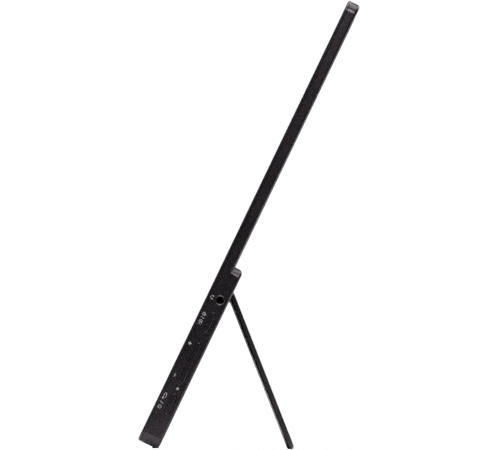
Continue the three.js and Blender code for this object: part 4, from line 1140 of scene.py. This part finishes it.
# ---------------------------------------------------------------- stand and pads


class PHOTOFRAME_OT_stand_leg(bpy.types.Operator):
    """Stand leg: a rounded plate with a shallow panel, a tongue for its foot and two knuckles"""

    bl_idname = "photo_frame.stand_leg"
    bl_label = "Stand Leg"

    def execute(self, context):
        size, stand = casing_sizes(), stand_sizes()
        wide, depth, high = spans("stand_leg", STAND)
        foot_wide, foot_depth, foot_high = spans("stand_foot", STAND)
        back = foot_depth[1]
        front = back - stand.thickness
        tip = foot_high[0] + 0.4
        top = min(high[1], 0.4)
        leg = add_slab(
            wide, (front, back), (tip, top), stand.tip_corner, stand.top_corner, stand.rim, stand.rim, 14, 6
        )
        seat_top = foot_high[1] + 0.1
        reach = foot_wide[1] + 0.1
        cut(leg, add_block(both_ways(reach), (front - 1, back + 1), (tip - 2, seat_top)))
        across = wide[1] - 9.0
        rise = (foot_high[0] + 14.0, -10.0)
        shallow = slot_tool(2 * across, rise[1] - rise[0], stand.panel_inset, 0.3, size.corner, 8)
        cut(leg, place_tool(shallow, OUT_BACK, 0, back, middle(rise)))
        centre = (front + back) / 2
        rise = (seat_top - 1.7, seat_top + 0.3)
        tongue = add_block(both_ways(foot_wide[1] - 3), (centre - 0.5, centre + 0.5), rise)
        bevel(tongue, lambda e: lies_at(e, Z, seat_top - 1.7), 0.15, 2)
        join(leg, tongue)
        for sign in (1, -1):
            ends = sorted(sign * x for x in (wide[1] - stand.knuckle_length, wide[1]))
            barrel = add_rod(X, ends, (0, 0), stand.knuckle_radius, 48)
            bevel(barrel, lambda e: lies_at(e, X, ends[0]) or lies_at(e, X, ends[1]), 0.15, 2)
            arm = self.arm(ends, stand, front, top)
            join(leg, barrel, arm)
            cut(leg, add_rod(X, (ends[0] - 1, ends[1] + 1), (0, 0), stand.shaft_bore, 32))
        hand_in(leg, "stand_leg_plate", STAND, "stand", finish("stand_plastic"), ["stand_leg"])
        return {"FINISHED"}

    def arm(self, ends, stand, front, top):
        """The web that carries a knuckle: a block whose front face is drawn in towards its foot."""
        radius = stand.knuckle_radius
        web = add_block(ends, (-0.74 * radius, front + 0.2), (-stand.arm_foot, top - 0.2))
        turn = math.atan2(front + 0.2 + 0.74 * radius, stand.arm_foot - 0.66 * radius)
        slice_off(web, (0, -0.74 * radius, -0.66 * radius), (0, -math.cos(turn), -math.sin(turn)))
        slice_off(web, (0, 0, radius), (0, -math.sin(0.85), math.cos(0.85)))
        return web


class PHOTOFRAME_OT_stand_foot(bpy.types.Operator):
    """Rubber foot along the leg's tip: a round nose with fine ribs, worn flat where it rests"""

    bl_idname = "photo_frame.stand_foot"
    bl_label = "Stand Foot"

    def execute(self, context):
        wide, depth, high = spans("stand_foot", STAND)
        radius = (depth[1] - depth[0]) / 2
        nose = high[0] + radius
        foot = add_block(wide, depth, high)
        bevel(foot, lambda e: runs_along(e, X) and lies_at(e, Z, high[0]), 0.94 * radius, 12)
        centre = middle(depth)
        groove = add_block(
            both_ways(wide[1] - 2.8), (centre - 0.6, centre + 0.6), (high[1] - 1.8, high[1] + 1)
        )
        cut(foot, groove)
        down = (0, -math.sin(OPEN - LEAN), -math.cos(OPEN - LEAN))
        level = radius - 0.15
        ground = add_block(both_ways(wide[1] + 1), (-3, 3), (-3, 0))
        resting = moved(0, centre + down[Y] * level, nose + down[Z] * level)
        ground.matrix_world = resting @ Matrix.Rotation(LEAN - OPEN, 4, "X")
        settle(ground)
        cut(foot, ground)
        rib = add_rod(X, (wide[0] - 1, wide[1] + 1), (0, 0), 0.14, 11)
        places = []
        for angle in (-62, -42, 42, 62, 82):
            turned = math.radians(angle - 90) - (OPEN - LEAN)
            places.append(moved(0, centre + radius * math.cos(turned), nose + radius * math.sin(turned)))
        cut(foot, repeated(rib, places))
        hand_in(foot, "stand_foot_strip", STAND, "stand", finish("rubber"), ["stand_foot"])
        return {"FINISHED"}


class PHOTOFRAME_OT_bottom_pads(bpy.types.Operator):
    """The two rubber pads under the lower rear edge, modelled once, with shallow grip grooves"""

    bl_idname = "photo_frame.bottom_pads"
    bl_label = "Bottom Pads"

    def execute(self, context):
        boxes = {node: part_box(node) for node in ("bottom_pad_right", "bottom_pad_left")}
        low, high = boxes["bottom_pad_right"]
        size = [(high[i] - low[i]) / MM for i in (X, Y, Z)]
        pad = add_block(both_ways(size[X] / 2), both_ways(size[Y] / 2), (0, size[Z]))
        bevel(pad, lambda e: runs_along(e, Z), 0.7, 5)
        bevel(pad, lambda e: lies_at(e, Z, 0), 0.25, 4)
        groove = add_rod(Y, (-size[Y], size[Y]), (0, 0), 0.14, 12)
        count = int(size[X] / 2) - 2
        cut(pad, repeated(groove, [moved((i - (count - 1) / 2) * 2, 0, 0) for i in range(count)]))
        for node, (low, high) in boxes.items():
            centre = (low + high) / 2 / MM
            placed = copied(pad, moved(centre[X], centre[Y], low[Z] / MM))
            hand_in(placed, f"{node}_grip", Matrix.Identity(4), "frame", finish("rubber"), [node])
        bpy.data.objects.remove(pad)
        return {"FINISHED"}


# ---------------------------------------------------------------- printed marks


class Stamp:
    """Shapes of printed ink on the right side, drawn flat: across is depth, up is height."""

    def __init__(self, thickness):
        self.thickness = thickness
        self.parts = []

    def rise(self):
        """Each stroke is a hair thicker than the last, so that no two faces share a plane."""
        extra = 0.0007 * len(self.parts)
        return (-0.01 - extra, self.thickness + extra)

    def bar(self, x, y, width, high, turn=0):
        part = add_block(both_ways(width / 2), both_ways(high / 2), self.rise())
        bevel(part, lambda e: runs_along(e, Z), 0.45 * min(width, high), 4)
        part.matrix_world = moved(x, y, 0) @ Matrix.Rotation(math.radians(turn), 4, "Z")
        settle(part)
        self.parts.append(part)
        return part

    def ring(self, x, y, radius, line, sides=40):
        part = add_rod(Z, self.rise(), (x, y), radius, sides)
        cut(part, add_rod(Z, (-1, 1), (x, y), radius - line, sides))
        self.parts.append(part)
        return part

    def merged(self):
        return join(self.parts[0], *self.parts[1:])


def draw_headphones(stamp, x, y):
    """A headband over two ear pads, lying on its side so that it reads from below."""
    band = stamp.ring(x, y, 0.85, 0.22)
    cut(band, add_block((x + 0.05, x + 2), (y - 2, y + 2), (-1, 1)))
    for way in (-1, 1):
        stamp.bar(x + 0.33, y + way * 0.70, 0.75, 0.42)


def draw_list(stamp, x, y):
    """Three lines with their points: a list."""
    for row in (-0.62, 0, 0.62):
        stamp.bar(x + row, y + 0.4, 0.24, 1.7)
        stamp.bar(x + row, y - 1.0, 0.26, 0.34)


def draw_gear(stamp, x, y):
    stamp.ring(x, y, 0.68, 0.26, 32)
    for tooth in range(6):
        angle = math.radians(tooth * 60)
        stamp.bar(x + 0.78 * math.cos(angle), y + 0.78 * math.sin(angle), 0.34, 0.26, tooth * 60)


def draw_slash(stamp, x, y):
    stamp.bar(x, y, 1.9, 0.2, -16)


def draw_power(stamp, x, y):
    ring = stamp.ring(x, y, 0.85, 0.22)
    cut(ring, add_block((x - 2, x), (y - 0.3, y + 0.3), (-1, 1)))
    stamp.bar(x - 0.5, y, 0.85, 0.2)


def draw_return(stamp, x, y):
    """An arrow that comes back on itself."""
    stamp.bar(x - 0.45, y + 0.3, 0.22, 2.6)
    stamp.bar(x - 0.72, y - 0.72, 0.2, 0.85, 45)
    stamp.bar(x - 0.18, y - 0.72, 0.2, 0.85, -45)
    turn = stamp.ring(x + 0.1, y + 1.5, 0.66, 0.22)
    cut(turn, add_block((x - 2, x + 2), (y - 1, y + 1.5), (-1, 1)))
    stamp.bar(x + 0.65, y + 0.75, 0.22, 1.6)


def draw_plus(stamp, x, y):
    stamp.bar(x, y, 1.7, 0.34)
    stamp.bar(x, y, 0.34, 1.7)


def draw_minus(stamp, x, y):
    stamp.bar(x, y, 0.34, 1.6)


class PHOTOFRAME_OT_printed_marks(bpy.types.Operator):
    """Plain printed marks beside the keys and the headphone socket"""

    bl_idname = "photo_frame.printed_marks"
    bl_label = "Printed Marks"

    def execute(self, context):
        sizes = opening_sizes()
        face = spans("rear_cover")[X][1]
        depth = sizes.mark_depth
        menu, rocker = spans("menu_button")[Z], spans("volume_rocker")[Z]
        power, socket = spans("power_button")[Z], spans("headphone_socket")[Z]
        marks = {
            "mark_headphones": ((draw_headphones, middle(socket) - 0.3),),
            "mark_menu": (
                (draw_list, middle(menu) - 1.75),
                (draw_slash, middle(menu) + 0.55),
                (draw_gear, middle(menu) + 2.3),
            ),
            "mark_volume_up": ((draw_plus, middle(rocker) + 8.1),),
            "mark_volume_down": ((draw_minus, middle(rocker) - 8.0),),
            "mark_power": (
                (draw_power, middle(power) - 3.3),
                (draw_slash, middle(power) - 1.1),
                (draw_return, middle(power) + 1.6),
            ),
        }
        for name, drawn in marks.items():
            stamp = Stamp(sizes.ink_thickness)
            for draw, height in drawn:
                draw(stamp, 0, height)
            ink = stamp.merged()
            hand_in(ink, name, PANEL @ moved(face, depth, 0) @ OUT_RIGHT, "frame", finish("printed_ink"))
        return {"FINISHED"}


# ---------------------------------------------------------------- parts inside the casing

INNER_FINISHES = {
    "white_film": ("diffuser_films", "reflector_sheet"),
    "clear_guide": ("light_guide",),
    "lamp_strip": ("backlight_strip",),
    "sheet_steel": ("screen_tray", "shield_can", "card_socket"),
    "hinge_steel": tuple(n for n in frame["nodes"] if n.startswith("hinge_")),
    "board_mask": ("screen_driver_board", "main_board", "port_board", "key_board"),
    "chip_epoxy": (
        "processor",
        "menu_switch",
        "plus_switch",
        "minus_switch",
        "power_switch",
        "speaker_right",
        "speaker_left",
    ),
    "flat_ribbon": ("screen_ribbon", "port_ribbon", "key_ribbon"),
    "lead_insulation": ("speaker_lead_right", "speaker_lead_left"),
}


class PHOTOFRAME_OT_inner_parts(bpy.types.Operator):
    """Finishes of the parts inside the casing, which show through its slots and sockets"""

    bl_idname = "photo_frame.inner_parts"
    bl_label = "Inner Parts"

    def execute(self, context):
        for name, nodes in INNER_FINISHES.items():
            for node in nodes:
                materials = frame["nodes"][node].data.materials
                materials.clear()
                materials.append(finish(name))
        return {"FINISHED"}


# ---------------------------------------------------------------- stage


def area_light(name, place, aim, size, power):
    take()
    way = Vector(aim) - Vector(place)
    turn = way.to_track_quat("-Z", "Y").to_euler()
    bpy.ops.object.light_add(type="AREA", location=place, rotation=turn)
    light = bpy.context.active_object
    light.name = name
    light.data.shape = "RECTANGLE"
    light.data.size, light.data.size_y = size
    light.data.energy = power
    light.visible_camera = False
    return light


def studio_world():
    """White behind the object for the camera, and a dimmer even light from all round."""
    world = bpy.data.worlds.new("studio")
    world.use_nodes = True
    bpy.context.scene.world = world
    nodes, links = world.node_tree.nodes, world.node_tree.links
    seen, round_about = nodes["Background"], nodes.new("ShaderNodeBackground")
    seen.inputs["Color"].default_value = (1, 1, 1, 1)
    seen.inputs["Strength"].default_value = 1.05
    round_about.inputs["Color"].default_value = (0.98, 0.96, 1.0, 1)
    round_about.inputs["Strength"].default_value = 0.03
    mix, path = nodes.new("ShaderNodeMixShader"), nodes.new("ShaderNodeLightPath")
    links.new(path.outputs["Is Camera Ray"], mix.inputs[0])
    links.new(round_about.outputs[0], mix.inputs[1])
    links.new(seen.outputs[0], mix.inputs[2])
    links.new(mix.outputs[0], nodes["World Output"].inputs["Surface"])


def side_camera():
    """A long lens that looks along the width, level with the surface that the frame stands on."""
    away = 9.0
    seen_width = 0.22975
    sensor = 36
    side = PANEL @ Vector((spans("rear_cover")[X][1] * MM, 0, 0))
    aim = Vector((side[X], 0.00050, 0.10292))
    place = Vector((side[X] + away, -0.039, 0.0015))
    back = (place - aim).normalized()
    roll = math.radians(0.46)
    up = Vector((0, -math.sin(roll), math.cos(roll)))
    right = up.cross(back).normalized()
    up = back.cross(right)
    take()
    bpy.ops.object.camera_add(location=place)
    camera = bpy.context.active_object
    camera.name = "side_camera"
    camera.rotation_euler = Matrix((right, up, back)).transposed().to_euler()
    camera.data.sensor_width = sensor
    camera.data.lens = sensor * (place - aim).length / seen_width
    camera.data.clip_start, camera.data.clip_end = 0.5, 60
    bpy.context.scene.camera = camera


class PHOTOFRAME_OT_stage(bpy.types.Operator):
    """Plain pale floor, soft studio light and the camera"""

    bl_idname = "photo_frame.stage"
    bl_label = "Stage"

    def execute(self, context):
        take()
        # The floor ends a little past the right side, which would otherwise mirror it.
        bpy.ops.mesh.primitive_plane_add(size=1.4, location=(-0.35, 0, 0))
        floor = bpy.context.active_object
        floor.name = "floor"
        floor.data.materials.append(studio_floor("floor", context.scene.photo_frame_colours.floor))
        studio_world()
        area_light("overhead", (0.15, 0.1, 1.3), (0, 0, 0.1), (1.6, 1.6), 34)
        area_light("front_fill", (-0.3, -1.6, 0.9), (0, 0, 0.1), (1.2, 1.0), 9)
        area_light("back_fill", (-0.9, 1.4, 0.9), (0, 0, 0.1), (1.2, 1.0), 18)
        area_light("corner_kick", (0.80, 0.08, 0.52), (0.18, 0, 0.2), (0.22, 0.22), 3.0)
        area_light("side_kick", (1.20, 0.08, 0.38), (0.18, 0, 0.2), (0.15, 0.15), 0.30)
        side_camera()
        context.scene.view_settings.view_transform = "Standard"
        return {"FINISHED"}


# ---------------------------------------------------------------- sidebar and registration

OPERATORS = (
    PHOTOFRAME_OT_rear_cover,
    PHOTOFRAME_OT_front_bezel,
    PHOTOFRAME_OT_screen,
    PHOTOFRAME_OT_keys,
    PHOTOFRAME_OT_headphone_socket,
    PHOTOFRAME_OT_status_light,
    PHOTOFRAME_OT_side_ports,
    PHOTOFRAME_OT_cover_screws,
    PHOTOFRAME_OT_stand_leg,
    PHOTOFRAME_OT_stand_foot,
    PHOTOFRAME_OT_bottom_pads,
    PHOTOFRAME_OT_printed_marks,
    PHOTOFRAME_OT_inner_parts,
    PHOTOFRAME_OT_stage,
)
GROUPS = {
    "photo_frame_casing": PhotoFrameCasing,
    "photo_frame_stand": PhotoFrameStand,
    "photo_frame_openings": PhotoFrameOpenings,
    "photo_frame_colours": PhotoFrameColours,
}


class PHOTOFRAME_PT_sidebar(bpy.types.Panel):
    """Sizes, colours and steps of the photo frame"""

    bl_label = "Photo Frame"
    bl_idname = "PHOTOFRAME_PT_sidebar"
    bl_space_type = "VIEW_3D"
    bl_region_type = "UI"
    bl_category = "Photo Frame"

    def draw(self, context):
        steps = self.layout.column(align=True)
        for operator in OPERATORS:
            steps.operator(operator.bl_idname)
        for group_name, group in GROUPS.items():
            values = self.layout.column(align=True)
            for value in group.__annotations__:
                values.prop(getattr(context.scene, group_name), value)


def register():
    for made in (*GROUPS.values(), *OPERATORS, PHOTOFRAME_PT_sidebar):
        bpy.utils.register_class(made)
    for name, group in GROUPS.items():
        setattr(bpy.types.Scene, name, PointerProperty(type=group))


def unregister():
    for name in GROUPS:
        delattr(bpy.types.Scene, name)
    for made in reversed((*GROUPS.values(), *OPERATORS, PHOTOFRAME_PT_sidebar)):
        bpy.utils.unregister_class(made)


def main():
    register()
    for operator in OPERATORS:
        group, step = operator.bl_idname.split(".")
        getattr(getattr(bpy.ops, group), step)()


if __name__ == "__main__":
    main()
